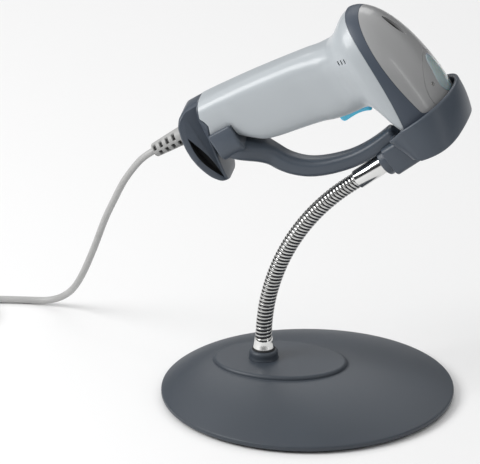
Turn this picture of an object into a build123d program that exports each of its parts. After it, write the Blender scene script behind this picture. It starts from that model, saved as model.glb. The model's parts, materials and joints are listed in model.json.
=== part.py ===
from build123d import *
import os
from math import cos, pi, radians, sin, tan

os.makedirs("parts", exist_ok=True)

# Millimetres and degrees. The floor is Z=0, the origin is under the middle of the foot, and the nose looks toward +X.
FIT = 0.02          # clearance round a screw or pin that is held
RUN = 0.05          # clearance round a pin that turns

# Weighted foot
BASE_D = 190.0
BASE_RIM = 5.0      # height of the upright rim
BASE_WALL = 2.6
PLATFORM_LONG = 87.2
PLATFORM_WIDE = 60.6
PLATFORM_X = -18.0
PLATFORM_TOP = 24.5
PLATFORM_STEP = 2.6
DOME_POWER = 1.6
DOME_STATIONS = 6
PAD_D = 182.0
PAD_T = 1.5
PLATE_T = 2.5
WEIGHT_D = 124.0
WEIGHT_T = 8.0
WEIGHT_X = -7.6
BASE_SCREW_RING = 74.0
BASE_SCREW_LONG = 6.5

# Gooseneck
NECK_X = -28.9
NECK_D = 10.0
NECK_BEND_R = 140.0
NECK_TURN = 52.6
NECK_STRAIGHT = 8.0
NECK_PIECES = 8
BALL_R = 6.0
BALL_GAP = 0.15
COLLAR_D = 18.8
COLLAR_H = 6.0
SEAL_H = 1.4
FERRULE_CONE_H = 6.1
FERRULE_FOOT_R = 6.9
STUD_R = 5.0
NUT_ACROSS = 16.0
NUT_H = 3.6
WASHER_T = 1.0
WASHER_R = 9.5
TOP_FERRULE_D = 13.0
TOP_FERRULE_L = 22.0
TOP_STUD_R = 4.0
TOP_STUD_L = 14.0
INSERT_R = 5.6

# Scanner: its own frame has x along the head to the nose, z up through the crown, and the band's lower edge at z=0.
SCANNER_AT = (24.4, 0.0, 271.0)
SCANNER_TILT = 57.0
WALL = 2.2
WIDEST_X = 57.0
HEAD_HALF_W = 34.0
NOSE_HALF_W = 33.0
HEAD_TOP = 30.6
CREST_X = 72.0
NOSE_DROP = 2.0
CROWN_POWER = 2.2
RISE_POWER = 1.9
PLAN_POWER = 2.4
BEZEL_X = 80.0
CHIN = 5.0
NOSE_X = 98.5
NOSE_SLOPE = 0.342
WINDOW_T = 2.0
WINDOW_BACK = 3.0
HEAD_STATIONS = (0.6, 2.0, 5.0, 10.0, 17.0, 27.0, 40.0, 55.0, 72.0, 90.0, 108.0)
BAND_LOW = 8.5      # the band's height at the tail
BAND_RISE = 6.0     # its slow climb along the side
BAND_TURN = (70.0, 79.6)     # where its edge turns up, and where it has crossed the crown
BAND_SWEEP = 18.0
LAMP_AT = (68.5, 57.5)     # middles of the lamp window's round front and of its tail
LAMP_R = (6.2, 2.6)
COVER_SCREW = (66.0, 15.5)

# Housing slices from the head down the handle: height, back, front, half width, centre, front power, back power
GRIP = (
    (0.0, 0.6, 88.0, 34.0, 57.0, 6.0, 2.4),
    (-4.5, 1.7, 80.5, 33.2, 52.0, 4.6, 2.4),
    (-9.0, 4.4, 70.4, 30.8, 45.0, 3.6, 2.5),
    (-13.4, 7.6, 63.4, 27.4, 40.0, 3.2, 2.7),
    (-18.0, 10.6, 60.8, 24.0, 37.0, 3.2, 2.9),
    (-23.0, 12.2, 60.2, 21.3, 36.0, 3.3, 3.2),
    (-30.0, 11.9, 60.0, 19.0, 36.0, 3.5, 3.4),
    (-40.0, 10.4, 58.8, 17.8, 34.0, 3.6, 3.6),
    (-52.0, 8.9, 55.6, 17.0, 31.5, 3.6, 3.6),
    (-66.0, 7.4, 53.0, 17.0, 29.5, 3.6, 3.6),
    (-80.0, 6.1, 50.7, 17.0, 28.0, 3.6, 3.6),
    (-90.0, 5.4, 48.0, 17.0, 26.0, 3.6, 3.6),
    (-97.0, 5.0, 43.0, 17.0, 24.0, 3.6, 3.6),
    (-104.0, 4.6, 37.2, 16.8, 21.0, 3.6, 3.6),
    (-111.0, 4.3, 34.6, 16.8, 20.0, 3.6, 3.6),
    (-118.0, 4.1, 34.6, 17.0, 20.0, 3.6, 3.6),
    (-127.0, 4.1, 35.5, 17.0, 21.0, 3.6, 3.6),
)
SLICE_POINTS = 28

# Butt cap, seen from the side
CAP_TOP = ((2.0, -115.6), (6.0, -116.2), (9.3, -117.7), (12.6, -118.8), (16.0, -117.0), (19.2, -116.2), (26.5, -118.8),
           (33.4, -120.8), (41.6, -122.3), (60.5, -126.2))
CAP_BOTTOM = ((60.5, -127.4), (57.6, -130.3), (51.0, -134.3), (45.2, -136.4), (39.4, -137.9), (33.0, -138.6),
              (27.0, -138.3), (20.8, -137.2), (12.0, -135.2), (7.0, -132.2), (2.0, -124.0))
CAP_HALF_W = 17.0
CAP_BACK = 4.1
CAP_FRONT = 59.2
POCKET_DEPTH = 8.0

# Trigger
TRIGGER_W = 16.0
TRIGGER_GAP = 0.35
TRIGGER_PIVOT = (52.5, -19.0)
TRIGGER_PIN_R = 1.0
TRIGGER_PIN_L = 22.0

# Electronics
BOARD_TOP = -1.6
BOARD_T = 1.6
POST_R = 3.0
POSTS = ((25.0, 19.0), (47.0, 19.0))
ENGINE = (50.0, 84.0, 19.0, 20.5)     # back, front, half width, top
HARNESS_X = 19.4
SOCKET_TOP = -101.0
PLUG_FOOT = -121.0
WIRE_R = 3.0
SCREW_R = 1.25
SCREW_HEAD_R = 2.4
BODY_SCREWS = ((32.0, -62.0), (26.0, -97.0), (38.0, -15.0))

# Hands-free holder, in the scanner's frame
RING_GAP = 0.7
RING_WALL = 3.0
RING_BACK_X = 78.2
RING_BACK_SLOPE = 0.06
RING_FRONT = (
    (96.5, 60.0), (96.5, 40.0), (98.0, 35.0), (101.5, 29.0), (103.8, 20.0), (104.4, 8.0), (104.4, -60.0),
)
BELLY_POWER = 1.9
RING_LIP = 2.5
RING_SEAT = 0.3
RING_FLARE = 0.591
RING_DEPTH_AT = 19.2 + 0.591 * 88.5
LUG_L = 20.0
LUG_W = 24.0
LUG_FROM = 6.0
LUG_TO = 26.0
BOSS_R = 9.5
CRADLE = (25.0, 45.6, -119.5, -102.6)
CRADLE_FLOOR_X = 39.0
CRADLE_CHEEK = 3.6
CRADLE_GAP = 0.7
ARM_WIDE = 14.4
ARM_THICK = 11.6
ARM_CORNER = 5.4
ARM_PATH = ((57.0, 189.5), (41.0, 173.5), (9.0, 160.8), (-12.0, 161.8), (-28.0, 171.2), (-46.0, 174.6))
ARM_RADII = (40.0, 38.0, 26.0, 30.0)

# Cable
CORD_D = 4.5
STRAIN_X = 21.1
STRAIN_FLANGE = -134.0
STRAIN_ROOT = -138.7   # just under the butt cap's lowest place
STRAIN_END = -162.0
STRAIN_R = 6.3
STRAIN_TIP_R = 4.7
CORD_ROUTE = (
    (-115.5, 4.2, 149.3), (-124.3, 14.5, 134.2), (-132.8, 29.0, 115.0), (-142.2, 47.0, 94.0),
    (-152.4, 66.5, 66.0), (-162.9, 84.5, 39.8), (-172.3, 99.3, 20.4), (-181.3, 108.8, 9.4),
    (-191.5, 113.2, 3.6), (-204.0, 114.4, 2.4), (-219.0, 113.2, 2.4), (-234.0, 110.9, 2.5), (-251.0, 110.2, 2.7),
)
CORD_FIRST = 9.0
COIL_AT = (-262.0, 79.0)
COIL_R = 25.0
COIL_HALF = 9.0
COIL_LOW = 0.6
COIL_HIGH = 9.6
TIE_T = 0.5
TIE_W = 8.0
TAIL_Z = 4.8
TAIL_L = 17.0
PLUG = (24.0, 15.0, 8.4)
SHELL = (12.0, 12.0, 4.5)


def block(x0, x1, y0, y1, z0, z1):
    return Pos((x0 + x1) / 2, (y0 + y1) / 2, (z0 + z1) / 2) * Box(x1 - x0, y1 - y0, z1 - z0)


def rod(radius, z0, z1, x=0.0, y=0.0):
    return Pos(x, y, (z0 + z1) / 2) * Cylinder(radius, z1 - z0)


def rod_x(radius, x0, x1, y=0.0, z=0.0):
    return Pos((x0 + x1) / 2, y, z) * Rot(0, 90, 0) * Cylinder(radius, x1 - x0)


def rod_y(radius, y0, y1, x=0.0, z=0.0):
    return Pos(x, (y0 + y1) / 2, z) * Rot(90, 0, 0) * Cylinder(radius, y1 - y0)


def side_prism(points, half):
    """A closed side outline of (x, z) points, carried to both sides of the middle."""
    outline = Polyline(*[(x, 0, z) for x, z in points], close=True)
    return extrude(make_face(outline), amount=half, dir=(0, 1, 0), both=True)


def beyond(x0, slope, reach=90.0):
    """Everything in front of a plane that leans back as it rises."""
    return side_prism(((x0 + slope * reach, -reach), (300, -reach), (300, reach), (x0 - slope * reach, reach)), 120)


def signed_power(value, power):
    return (1 if value >= 0 else -1) * abs(value) ** power


def save(name, shape, place=None):
    if place is not None:
        shape = place * shape
    export_step(shape, f"parts/{name}.step")


# ---------------------------------------------------------------- weighted foot
def dome(inset):
    """The foot's outer or inner form, from the round rim up to the oval platform."""
    rise = PLATFORM_TOP - PLATFORM_STEP - BASE_RIM
    sections = []
    for k in range(DOME_STATIONS + 1):
        t = k / DOME_STATIONS
        long = BASE_D / 2 + (PLATFORM_LONG / 2 - BASE_D / 2) * t - inset
        wide = BASE_D / 2 + (PLATFORM_WIDE / 2 - BASE_D / 2) * t - inset
        z = BASE_RIM + rise * (1 - (1 - t) ** DOME_POWER) - inset
        sections.append(Pos(PLATFORM_X * t, 0, z) * Ellipse(long, wide))
    return loft(sections)


PLATE_Z = PAD_T
WEIGHT_Z = PLATE_Z + PLATE_T
WEIGHT_TOP = WEIGHT_Z + WEIGHT_T
WASHER_Z = WEIGHT_TOP - WASHER_T - 2.6
NUT_Z = WASHER_Z - NUT_H
SCREW_SPOTS = [(BASE_SCREW_RING * cos(radians(a)), BASE_SCREW_RING * sin(radians(a))) for a in (45, 135, 225, 315)]


def base_cover():
    rim = rod(BASE_D / 2, PLATE_Z, BASE_RIM)
    rim = fillet(rim.edges().sort_by(Axis.Z)[0], 1.6)
    step = Pos(PLATFORM_X, 0, PLATFORM_TOP - PLATFORM_STEP) * extrude(
        Ellipse(PLATFORM_LONG / 2, PLATFORM_WIDE / 2), PLATFORM_STEP)
    step = fillet(step.edges().sort_by(Axis.Z)[-1], PLATFORM_STEP * 0.8)
    outer = rim + dome(0) + step
    inner = dome(BASE_WALL) + rod(BASE_D / 2 - BASE_WALL, 0, WEIGHT_Z)
    posts = [rod(12.0, WEIGHT_TOP, PLATFORM_TOP - 1, NECK_X)]
    posts += [rod(4.0, WEIGHT_Z, PLATFORM_TOP, x, y) for x, y in SCREW_SPOTS]
    bores = [rod(STUD_R + FIT, 0, PLATFORM_TOP + 1, NECK_X)]
    bores += [rod(1.5 + FIT, 0, WEIGHT_Z + BASE_SCREW_LONG, x, y) for x, y in SCREW_SPOTS]
    cover = outer - inner
    for post in posts:
        cover += post & outer
    for bore in bores:
        cover -= bore
    return cover


def bottom_plate():
    plate = rod(BASE_D / 2 - BASE_WALL - 0.3, PLATE_Z, WEIGHT_Z)
    plate = plate - rod(NUT_ACROSS, 0, WEIGHT_Z, NECK_X)
    for x, y in SCREW_SPOTS:
        plate = plate - rod(1.5 + FIT, 0, WEIGHT_Z, x, y) - rod(3.2, 0, PLATE_Z + 1.5, x, y)
    return plate


def base_screws():
    spots = []
    for x, y in SCREW_SPOTS:
        spots.append(rod(3.0, PLATE_Z, PLATE_Z + 1.5, x, y) + rod(1.5, PLATE_Z, WEIGHT_Z + BASE_SCREW_LONG - 1, x, y))
    return Compound(children=[s.solid() for s in spots])


def weight_plate():
    plate = rod(WEIGHT_D / 2, WEIGHT_Z, WEIGHT_TOP, WEIGHT_X)
    return plate - rod(STUD_R + FIT, 0, 40, NECK_X) - rod(NUT_ACROSS * 0.75, 0, WASHER_Z + WASHER_T, NECK_X)


def neck_nut():
    hexagon = extrude(RegularPolygon(NUT_ACROSS / 2, 6, major_radius=False), NUT_H)
    return Pos(NECK_X, 0, NUT_Z) * (hexagon - Pos(0, 0, 1) * Cylinder(STUD_R + FIT, 4 * NUT_H))


def ring_piece(outer, inner, z0, z1, x):
    return rod(outer, z0, z1, x) - rod(inner, z0 - 1, z1 + 1, x)


COLLAR_TOP = PLATFORM_TOP + COLLAR_H
SEAL_TOP = COLLAR_TOP + SEAL_H
NECK_Z = SEAL_TOP + FERRULE_CONE_H


def neck_collar():
    collar = rod(COLLAR_D / 2, PLATFORM_TOP, COLLAR_TOP, NECK_X)
    collar = fillet(collar.edges().sort_by(Axis.Z)[-1], 1.8)
    return collar - rod(STUD_R + FIT, 0, 60, NECK_X)


def lower_ferrule():
    cone = Pos(NECK_X, 0, (SEAL_TOP + NECK_Z) / 2) * Cone(FERRULE_FOOT_R, NECK_D / 2 + 0.5, FERRULE_CONE_H)
    return cone + rod(STUD_R, NUT_Z, SEAL_TOP + 1, NECK_X)


# ---------------------------------------------------------------- gooseneck
NECK_ARC = NECK_BEND_R * radians(NECK_TURN)
NECK_LENGTH = NECK_ARC + NECK_STRAIGHT


def neck_at(s):
    """Place and direction of the neck's centreline, s millimetres above the lower ferrule."""
    turn = min(s, NECK_ARC) / NECK_BEND_R
    rest = max(s - NECK_ARC, 0.0)
    x = NECK_X + NECK_BEND_R * (1 - cos(turn)) + rest * sin(turn)
    z = NECK_Z + NECK_BEND_R * sin(turn) + rest * cos(turn)
    return Vector(x, 0, z), Vector(sin(turn), 0, cos(turn))


def neck_tube(s0, s1):
    start, along = neck_at(s0)
    end, _ = neck_at(min(s1, NECK_ARC))
    middle, _ = neck_at((s0 + min(s1, NECK_ARC)) / 2)
    edges = [Edge.make_three_point_arc(start, middle, end)]
    if s1 > NECK_ARC:
        edges.append(Edge.make_line(end, neck_at(s1)[0]))
    profile = Plane(origin=start, z_dir=along) * Circle(NECK_D / 2)
    return sweep(profile, path=Wire(edges))


def neck_coil(k):
    """One length of the coil: a hollow cup at its foot and a ball at its head, except at the two ends."""
    s0 = NECK_LENGTH * (k - 1) / NECK_PIECES
    s1 = NECK_LENGTH * k / NECK_PIECES
    piece = neck_tube(s0, s1)
    if k < NECK_PIECES:
        centre, along = neck_at(s1)
        ball = Cylinder(NECK_D / 2, BALL_R + 1, align=(Align.CENTER, Align.CENTER, Align.MIN)) & Sphere(BALL_R)
        piece = piece + Plane(origin=centre, z_dir=along).location * ball
    if k > 1:
        centre = neck_at(s0)[0]
        piece = piece - Pos(*centre) * Sphere(BALL_R + BALL_GAP)
    return piece


NECK_END, NECK_AIM = neck_at(NECK_LENGTH)
NECK_TOP = Plane(origin=NECK_END, z_dir=NECK_AIM, x_dir=(NECK_AIM.Z, 0, -NECK_AIM.X))


def on_neck(shape, up):
    """Something drawn upright at its foot, set on the neck's end axis."""
    return NECK_TOP.location * Pos(0, 0, up) * shape


def upper_ferrule():
    low = Cylinder(TOP_FERRULE_D / 2, TOP_FERRULE_L, align=(Align.CENTER, Align.CENTER, Align.MIN))
    low = chamfer(low.edges().sort_by(Axis.Z)[0], 0.6)
    stud = Cylinder(TOP_STUD_R, TOP_STUD_L, align=(Align.CENTER, Align.CENTER, Align.MIN))
    return on_neck(low, 0) + on_neck(stud, TOP_FERRULE_L)


# ---------------------------------------------------------------- scanner outer forms
SCANNER = Location(SCANNER_AT, (0, SCANNER_TILT, 0))
BACK_TO_SCANNER = SCANNER.inverse()


def head_half_width(x):
    if x >= WIDEST_X:
        return HEAD_HALF_W + (NOSE_HALF_W - HEAD_HALF_W) * (x - WIDEST_X) / (NOSE_X - WIDEST_X)
    return HEAD_HALF_W * (1 - (1 - x / WIDEST_X) ** PLAN_POWER) ** (1 / PLAN_POWER)


def head_height(x):
    s = min(x / CREST_X, 1.0)
    drop = NOSE_DROP * (max(x - CREST_X, 0.0) / (NOSE_X - CREST_X)) ** 2
    return HEAD_TOP * (1 - (1 - s) ** RISE_POWER) ** 0.5 - drop


def arch_face(x, half, rise, power, points=15):
    """A half oval across the head: from one side over the crown, or under the chin, to the other."""
    spots = []
    for k in range(points):
        a = pi * k / (points - 1)
        y = half * signed_power(cos(a), 2 / power)
        spots.append(Vector(x, y, rise * sin(a) ** (2 / power)))
    spots[0] = Vector(x, half, 0)
    spots[-1] = Vector(x, -half, 0)
    return Face(Wire([Edge.make_spline(spots), Edge.make_line(spots[-1], spots[0])]))


def arch_solid(stations, half, rise, power):
    return loft([arch_face(x, half(x), rise(x), power) for x in stations])


def grown_head(grow, stations=HEAD_STATIONS):
    return arch_solid(stations, lambda x: head_half_width(x) + grow, lambda x: head_height(x) + grow, CROWN_POWER)


def chin(grow, x0=BEZEL_X - 2):
    stations = (x0, 92.0, 108.0)
    return arch_solid(stations, lambda x: head_half_width(x) + grow, lambda x: -CHIN - grow, 3.4)


def grip_slice(station, inset, lift=0.0):
    z, back, front, half, centre, front_power, back_power = station
    spots = []
    for k in range(SLICE_POINTS):
        a = 2 * pi * k / SLICE_POINTS
        power = front_power if cos(a) >= 0 else back_power
        reach = front - inset - centre if cos(a) >= 0 else centre - back - inset
        x = centre + reach * signed_power(cos(a), 2 / power)
        spots.append(Vector(x, (half - inset) * signed_power(sin(a), 2 / power), z + lift))
    return Face(Wire([Edge.make_spline(spots, periodic=True)]))


def grip(inset):
    sections = [grip_slice(s, inset) for s in GRIP]
    if inset > 0:
        sections.insert(0, grip_slice(GRIP[0], inset, 2.0))
    return loft(sections)


def below_cap_line():
    return side_prism(CAP_TOP + ((80, -126.2), (80, -170), (-20, -170), (-20, -115.6)), 60)


def crown_z(x, y):
    return head_height(x) * (1 - (abs(y) / head_half_width(x)) ** CROWN_POWER) ** (1 / CROWN_POWER)


def band_edge(x):
    """The band's upper edge: a slow climb along the side, then a sweep up over the crown behind the nose."""
    turn, crossed = BAND_TURN
    sweep = max(x - turn, 0.0) / (crossed - turn)
    return BAND_LOW + BAND_RISE * (x / turn) ** 2 + BAND_SWEEP * sweep ** 8


HEAD = grown_head(0)
HEAD_ROOM = grown_head(-WALL, (3.4, 5.0, 8.0, 12.0, 19.0, 28.0, 40.0, 55.0, 72.0, 90.0, 110.0))
CHIN_BODY = chin(0)
CHIN_ROOM = chin(-WALL, BEZEL_X - 6)
GRIP_BODY = grip(0)
GRIP_ROOM = grip(WALL)
NOSE_CUT = beyond(NOSE_X, NOSE_SLOPE)
BEZEL_CUT = beyond(BEZEL_X, 0.0)
BAND_STATIONS = (0.0, 15.0, 30.0, 45.0, 60.0, 70.0, 74.0, 76.0, 77.5, 78.6, BAND_TURN[1])
ABOVE_BAND = side_prism([(-6, BAND_LOW)] + [(x, band_edge(x)) for x in BAND_STATIONS] + [(82, 60), (-6, 60)], 60)


def status_outline(grow):
    """The lamp window's plan: a round front with a tapering tail."""
    front, tail = LAMP_AT
    wide, narrow = (r + grow for r in LAMP_R)
    between = Polyline((tail, narrow), (front - 0.5, wide), (front - 0.5, -wide), (tail, -narrow), close=True)
    return Pos(front, 0, 0) * Circle(wide) + Pos(tail, 0, 0) * Circle(narrow) + make_face(between)


def beeper_outline():
    arc_a = Edge.make_three_point_arc((13, 0, 0), (21.5, 2.6, 0), (30, 0, 0))
    arc_b = Edge.make_three_point_arc((30, 0, 0), (21.5, -2.6, 0), (13, 0, 0))
    return Face(Wire([arc_a, arc_b]))


def head_shell():
    return (HEAD - HEAD_ROOM) - NOSE_CUT


COVER_SCREWS = (COVER_SCREW, (COVER_SCREW[0], -COVER_SCREW[1]))


def top_cover():
    cover = (head_shell() & ABOVE_BAND) - BEZEL_CUT
    cover = cover - extrude(status_outline(FIT), 60) - extrude(beeper_outline(), 60)
    for x, y in COVER_SCREWS:
        cover = cover - rod(SCREW_R + FIT, 0, 60, x, y) - rod(1.8, crown_z(x, y) - 1.2, 60, x, y)
    return cover


def head_bumper():
    return (head_shell() - ABOVE_BAND) - BEZEL_CUT


def nose_bezel():
    chin_shell = CHIN_BODY - CHIN_ROOM - HEAD_ROOM
    return ((head_shell() + (chin_shell - NOSE_CUT)) & BEZEL_CUT)


def scan_window():
    room = HEAD_ROOM + CHIN_ROOM
    return (room & beyond(NOSE_X - WINDOW_BACK - WINDOW_T, NOSE_SLOPE)) - beyond(NOSE_X - WINDOW_BACK, NOSE_SLOPE)


def status_window():
    return (head_shell() & extrude(status_outline(0), 60))


# ---------------------------------------------------------------- scanner housing
def trigger_slot():
    return block(47, 75, -TRIGGER_W / 2 - TRIGGER_GAP, TRIGGER_W / 2 + TRIGGER_GAP, -43.2, -17.6)


def housing():
    body = GRIP_BODY - BEZEL_CUT - below_cap_line()
    shell = body - GRIP_ROOM
    for x, y in POSTS:
        for side in (-1, 1):
            shell = shell + (rod(POST_R, -45, BOARD_TOP - BOARD_T, x, side * y) & body)
            shell = shell - rod(1.0 + FIT, BOARD_TOP - BOARD_T - 7, 10, x, side * y)
    for x, z in BODY_SCREWS:
        shell = shell + (rod_y(3.6, -40, 40, x, z) & body)
    pivot_x, pivot_z = TRIGGER_PIVOT
    cheek = TRIGGER_W / 2 + TRIGGER_GAP
    for y0, y1 in ((-30, -cheek), (cheek, 30)):
        shell = shell + (rod_y(2.6, y0, y1, pivot_x, pivot_z) & body)
    shell = shell + (block(42, 46, -12, 12, -40, -26) & body) + (block(42, 46, -20, 20, -34, -30) & body)
    shell = shell - trigger_slot()
    shell = shell - rod_y(TRIGGER_PIN_R + FIT, -TRIGGER_PIN_L / 2, TRIGGER_PIN_L / 2, pivot_x, pivot_z)
    for k in range(3):
        low = -15.8 + 2.6 * k
        shell = shell - block(20.6, 24.2, -60, 60, low, low + 1.0)
    for x, z in BODY_SCREWS:
        shell = shell - rod_y(SCREW_R + FIT, -9, 40, x, z)
        shell = shell - rod_y(SCREW_HEAD_R + 0.1, screw_seat(z), 40, x, z)
    return shell


def screw_seat(z):
    return 20.0 if z > -20 else 12.5


def housing_half(side):
    half = block(-20, 120, 0, 60, -160, 40) if side > 0 else block(-20, 120, -60, 0, -160, 40)
    return SHELL_BODY & half


def body_screws():
    screws = []
    for x, z in BODY_SCREWS:
        seat = screw_seat(z)
        screws.append(rod_y(SCREW_R, -8, seat + 0.5, x, z) + rod_y(SCREW_HEAD_R, seat, seat + 1.8, x, z))
    return Compound(children=[s.solid() for s in screws])


def butt_cap():
    outline = side_prism(CAP_TOP + CAP_BOTTOM, CAP_HALF_W)
    plan = grip_slice((-145.0, CAP_BACK, CAP_FRONT, CAP_HALF_W, 30.0, 5.0, 3.6), 0.0)
    cap = outline & extrude(plan, amount=40, dir=(0, 0, 1))
    cap = cap - block(12.0, 30.0, -12.5, 12.5, STRAIN_FLANGE, -100)
    cap = cap - rod(STRAIN_R - 0.8 + FIT, -150, -120, STRAIN_X)
    upper = Edge.make_three_point_arc((20.5, 0, -133.2), (40, 0, -128.9), (56.0, 0, -127.9))
    lower = Edge.make_three_point_arc((56.0, 0, -127.9), (40, 0, -134.0), (20.5, 0, -133.2))
    crescent = Face(Wire([upper, lower]))
    for side in (-1, 1):
        cap = cap - Pos(0, side * (CAP_HALF_W - POCKET_DEPTH), 0) * extrude(crescent, amount=30, dir=(0, side, 0))
    return cap


def trigger():
    outline = ((65.0, -19.4), (63.2, -23.0), (62.2, -27.0), (62.0, -31.0), (62.3, -35.5), (62.8, -39.8), (59.8, -41.6),
               (55.6, -40.4), (54.3, -35.0), (53.9, -27.0), (50.9, -22.0), (50.0, -19.4), (51.0, -17.9), (53.5, -17.9),
               (58.0, -18.4))
    body = side_prism(outline, TRIGGER_W / 2)
    body = body - rod_y(TRIGGER_PIN_R + RUN, -20, 20, *TRIGGER_PIVOT)
    return body - block(47, 55.4, -3, 3, -28, -15)


def trigger_spring():
    x, z = TRIGGER_PIVOT
    coil = rod_y(2.0, -2.4, 2.4, x, z) - rod_y(TRIGGER_PIN_R + FIT, -5, 5, x, z)
    leg = block(x - 2.0, x - 1.4, 1.4, 2.2, z - 8, z)
    return coil + leg


def trigger_switch():
    body = block(46.0, 50.6, -5, 5, -39.0, -31.0)
    return body + rod_x(1.2, 50.6, 52.3, 0, -35.5)


# ---------------------------------------------------------------- inside the scanner
def main_board():
    low = BOARD_TOP - BOARD_T
    board = Pos(37, 0, low) * extrude(RectangleRounded(38, 46, 4), BOARD_T)
    for x, y in POSTS:
        for side in (-1, 1):
            board = board - rod(1.0 + FIT, low - 1, 5, x, side * y)
    chips = block(38, 46, -15, -6, BOARD_TOP, BOARD_TOP + 1.2) + block(40, 46, 4, 12, BOARD_TOP, BOARD_TOP + 1.0)
    return board + chips


def board_screws():
    screws = []
    for x, y in POSTS:
        for side in (-1, 1):
            head = rod(2.0, BOARD_TOP, BOARD_TOP + 1.4, x, side * y)
            screws.append((head + rod(1.0, BOARD_TOP - BOARD_T - 6, BOARD_TOP, x, side * y)).solid())
    return Compound(children=screws)


def engine_frame():
    x0, x1, half, top = ENGINE
    frame = block(x0, x1, -half, half, BOARD_TOP, top)
    frame = frame - block(x0 - 1, x0 + 8, -half + 2, half - 2, BOARD_TOP + 2, top - 2)
    frame = frame - block(x0 + 10, x1 + 1, -half + 2, half - 2, BOARD_TOP + 2, top - 2)
    frame = frame - rod_x(5.0 + FIT, x0, x1, 0, 10)
    for x, y in COVER_SCREWS:
        frame = frame + rod(2.6, 12, top, x, y) - rod(SCREW_R + FIT, 12.5, top + 1, x, y)
    return frame


def imaging_lens():
    x0 = ENGINE[0]
    barrel = rod_x(5.0, x0 + 8, x0 + 22, 0, 10) + rod_x(6.4, x0 + 18, x0 + 22, 0, 10)
    return barrel - rod_x(3.6, x0 + 20, x0 + 30, 0, 10)


def sensor_board():
    x0, _, half, top = ENGINE
    return block(x0 + 6.4, x0 + 8, -half + 3, half - 3, 2, top - 3) + block(x0 + 4, x0 + 6.4, -6, 6, 7, 13)


def light_bar():
    x1, half = ENGINE[1], ENGINE[2]
    bar = block(x1 - 3, x1 - 1.4, -half + 2, half - 2, BOARD_TOP + 2, BOARD_TOP + 7)
    for k in range(4):
        bar = bar + rod_x(1.6, x1 - 1.4, x1 + 0.6, -12 + 8 * k, BOARD_TOP + 4.5)
    return bar


def beeper():
    can = rod(8.5, BOARD_TOP, 7, 29)
    return can - rod(1.2, 5, 8, 29)


def status_light():
    middle = sum(LAMP_AT) / 2 + 1.5
    top = crown_z(middle, LAMP_R[0]) - WALL - 1.6
    return block(middle - 4, middle + 4, -4, 4, ENGINE[3], top) + rod(2.4, top, top + 0.9, middle)


def cover_screws():
    screws = []
    for x, y in COVER_SCREWS:
        seat = crown_z(x, y) - 1.2
        screws.append((rod(SCREW_R, 13, seat, x, y) + rod(1.7, seat - 0.01, seat + 0.7, x, y)).solid())
    return Compound(children=screws)


def cable_socket():
    block_out = block(12.2, 29.8, -9, 9, -117.5, SOCKET_TOP)
    return block_out - block(17.6, 29.0, -5.9, 5.9, -125, -104)


def cable_plug():
    plug = block(17.7, 28.9, -5.8, 5.8, PLUG_FOOT, -104.6)
    return plug + rod(WIRE_R, STRAIN_FLANGE, PLUG_FOOT, STRAIN_X)


def harness():
    return block(HARNESS_X, HARNESS_X + 1.2, -5, 5, SOCKET_TOP, BOARD_TOP - BOARD_T)


def strain_relief():
    flange = rod(STRAIN_R + 0.8, STRAIN_FLANGE, STRAIN_FLANGE + 1.4, STRAIN_X)
    flange = flange - rod(WIRE_R + FIT, STRAIN_ROOT, STRAIN_FLANGE + 4, STRAIN_X)
    neck = rod(STRAIN_R - 0.8, STRAIN_ROOT, STRAIN_FLANGE, STRAIN_X)
    cone = Pos(STRAIN_X, 0, (STRAIN_END + STRAIN_ROOT) / 2) * Cone(STRAIN_TIP_R, STRAIN_R, STRAIN_ROOT - STRAIN_END)
    body = flange + neck + cone
    for k in range(5):
        low = STRAIN_ROOT - 4.5 - 3.6 * k
        for y0, y1 in ((-8, -2.4), (2.4, 8)):
            body = body - block(STRAIN_X - 8, STRAIN_X + 8, y0, y1, low, low + 1.4)
    return body


# ---------------------------------------------------------------- hands-free holder
def ring_depth(x):
    return RING_DEPTH_AT - RING_FLARE * x


def ring_form(grow, under):
    """The nose cup's form: the head's crown grown outward, and a belly that rises toward the front."""
    stations = (68.0, 80.0, 96.0, 114.0)
    crown = grown_head(grow, stations)
    belly = arch_solid(stations, lambda x: head_half_width(x) + grow, lambda x: -(ring_depth(x) - under), BELLY_POWER)
    return crown + belly


def nose_ring():
    outer = ring_form(RING_GAP + RING_WALL, 0.0)
    room = ring_form(RING_GAP, RING_WALL) - beyond(NOSE_X + RING_SEAT, NOSE_SLOPE)
    mouth = ring_form(RING_GAP - RING_LIP, RING_WALL + RING_LIP)
    ring = (outer & beyond(RING_BACK_X, RING_BACK_SLOPE)) & side_prism(RING_FRONT + ((0, -60), (0, 60)), 120)
    lug = on_neck(Pos(0, 0, (LUG_FROM + LUG_TO) / 2) * Box(LUG_L, LUG_W, LUG_TO - LUG_FROM), TOP_FERRULE_L)
    lug = fillet(lug.edges().filter_by(Axis((0, 0, 0), tuple(NECK_AIM))), 3.5)
    boss = on_neck(Cylinder(BOSS_R, LUG_FROM, align=(Align.CENTER, Align.CENTER, Align.MIN)), TOP_FERRULE_L)
    ring = ring + BACK_TO_SCANNER * (lug + boss)
    ring = ring - room - mouth
    bore = on_neck(Cylinder(INSERT_R, TOP_STUD_L, align=(Align.CENTER, Align.CENTER, Align.MIN)), TOP_FERRULE_L)
    screw = on_neck(Pos(0, 8, 9) * Rot(90, 0, 0) * Cylinder(1.5 + FIT, 12), TOP_FERRULE_L)
    return ring - BACK_TO_SCANNER * (bore + screw)


def ring_insert():
    sleeve = Cylinder(INSERT_R, TOP_STUD_L, align=(Align.CENTER, Align.CENTER, Align.MIN))
    sleeve = sleeve - Cylinder(TOP_STUD_R + FIT, 60)
    sleeve = sleeve - Pos(0, 8, 9) * Rot(90, 0, 0) * Cylinder(1.5 + FIT, 12)
    return on_neck(sleeve, TOP_FERRULE_L)


def set_screw():
    return on_neck(Pos(0, (TOP_STUD_R + 11) / 2 + FIT, 9) * Rot(90, 0, 0) * Cylinder(1.5, 11 - TOP_STUD_R), TOP_FERRULE_L)


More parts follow.
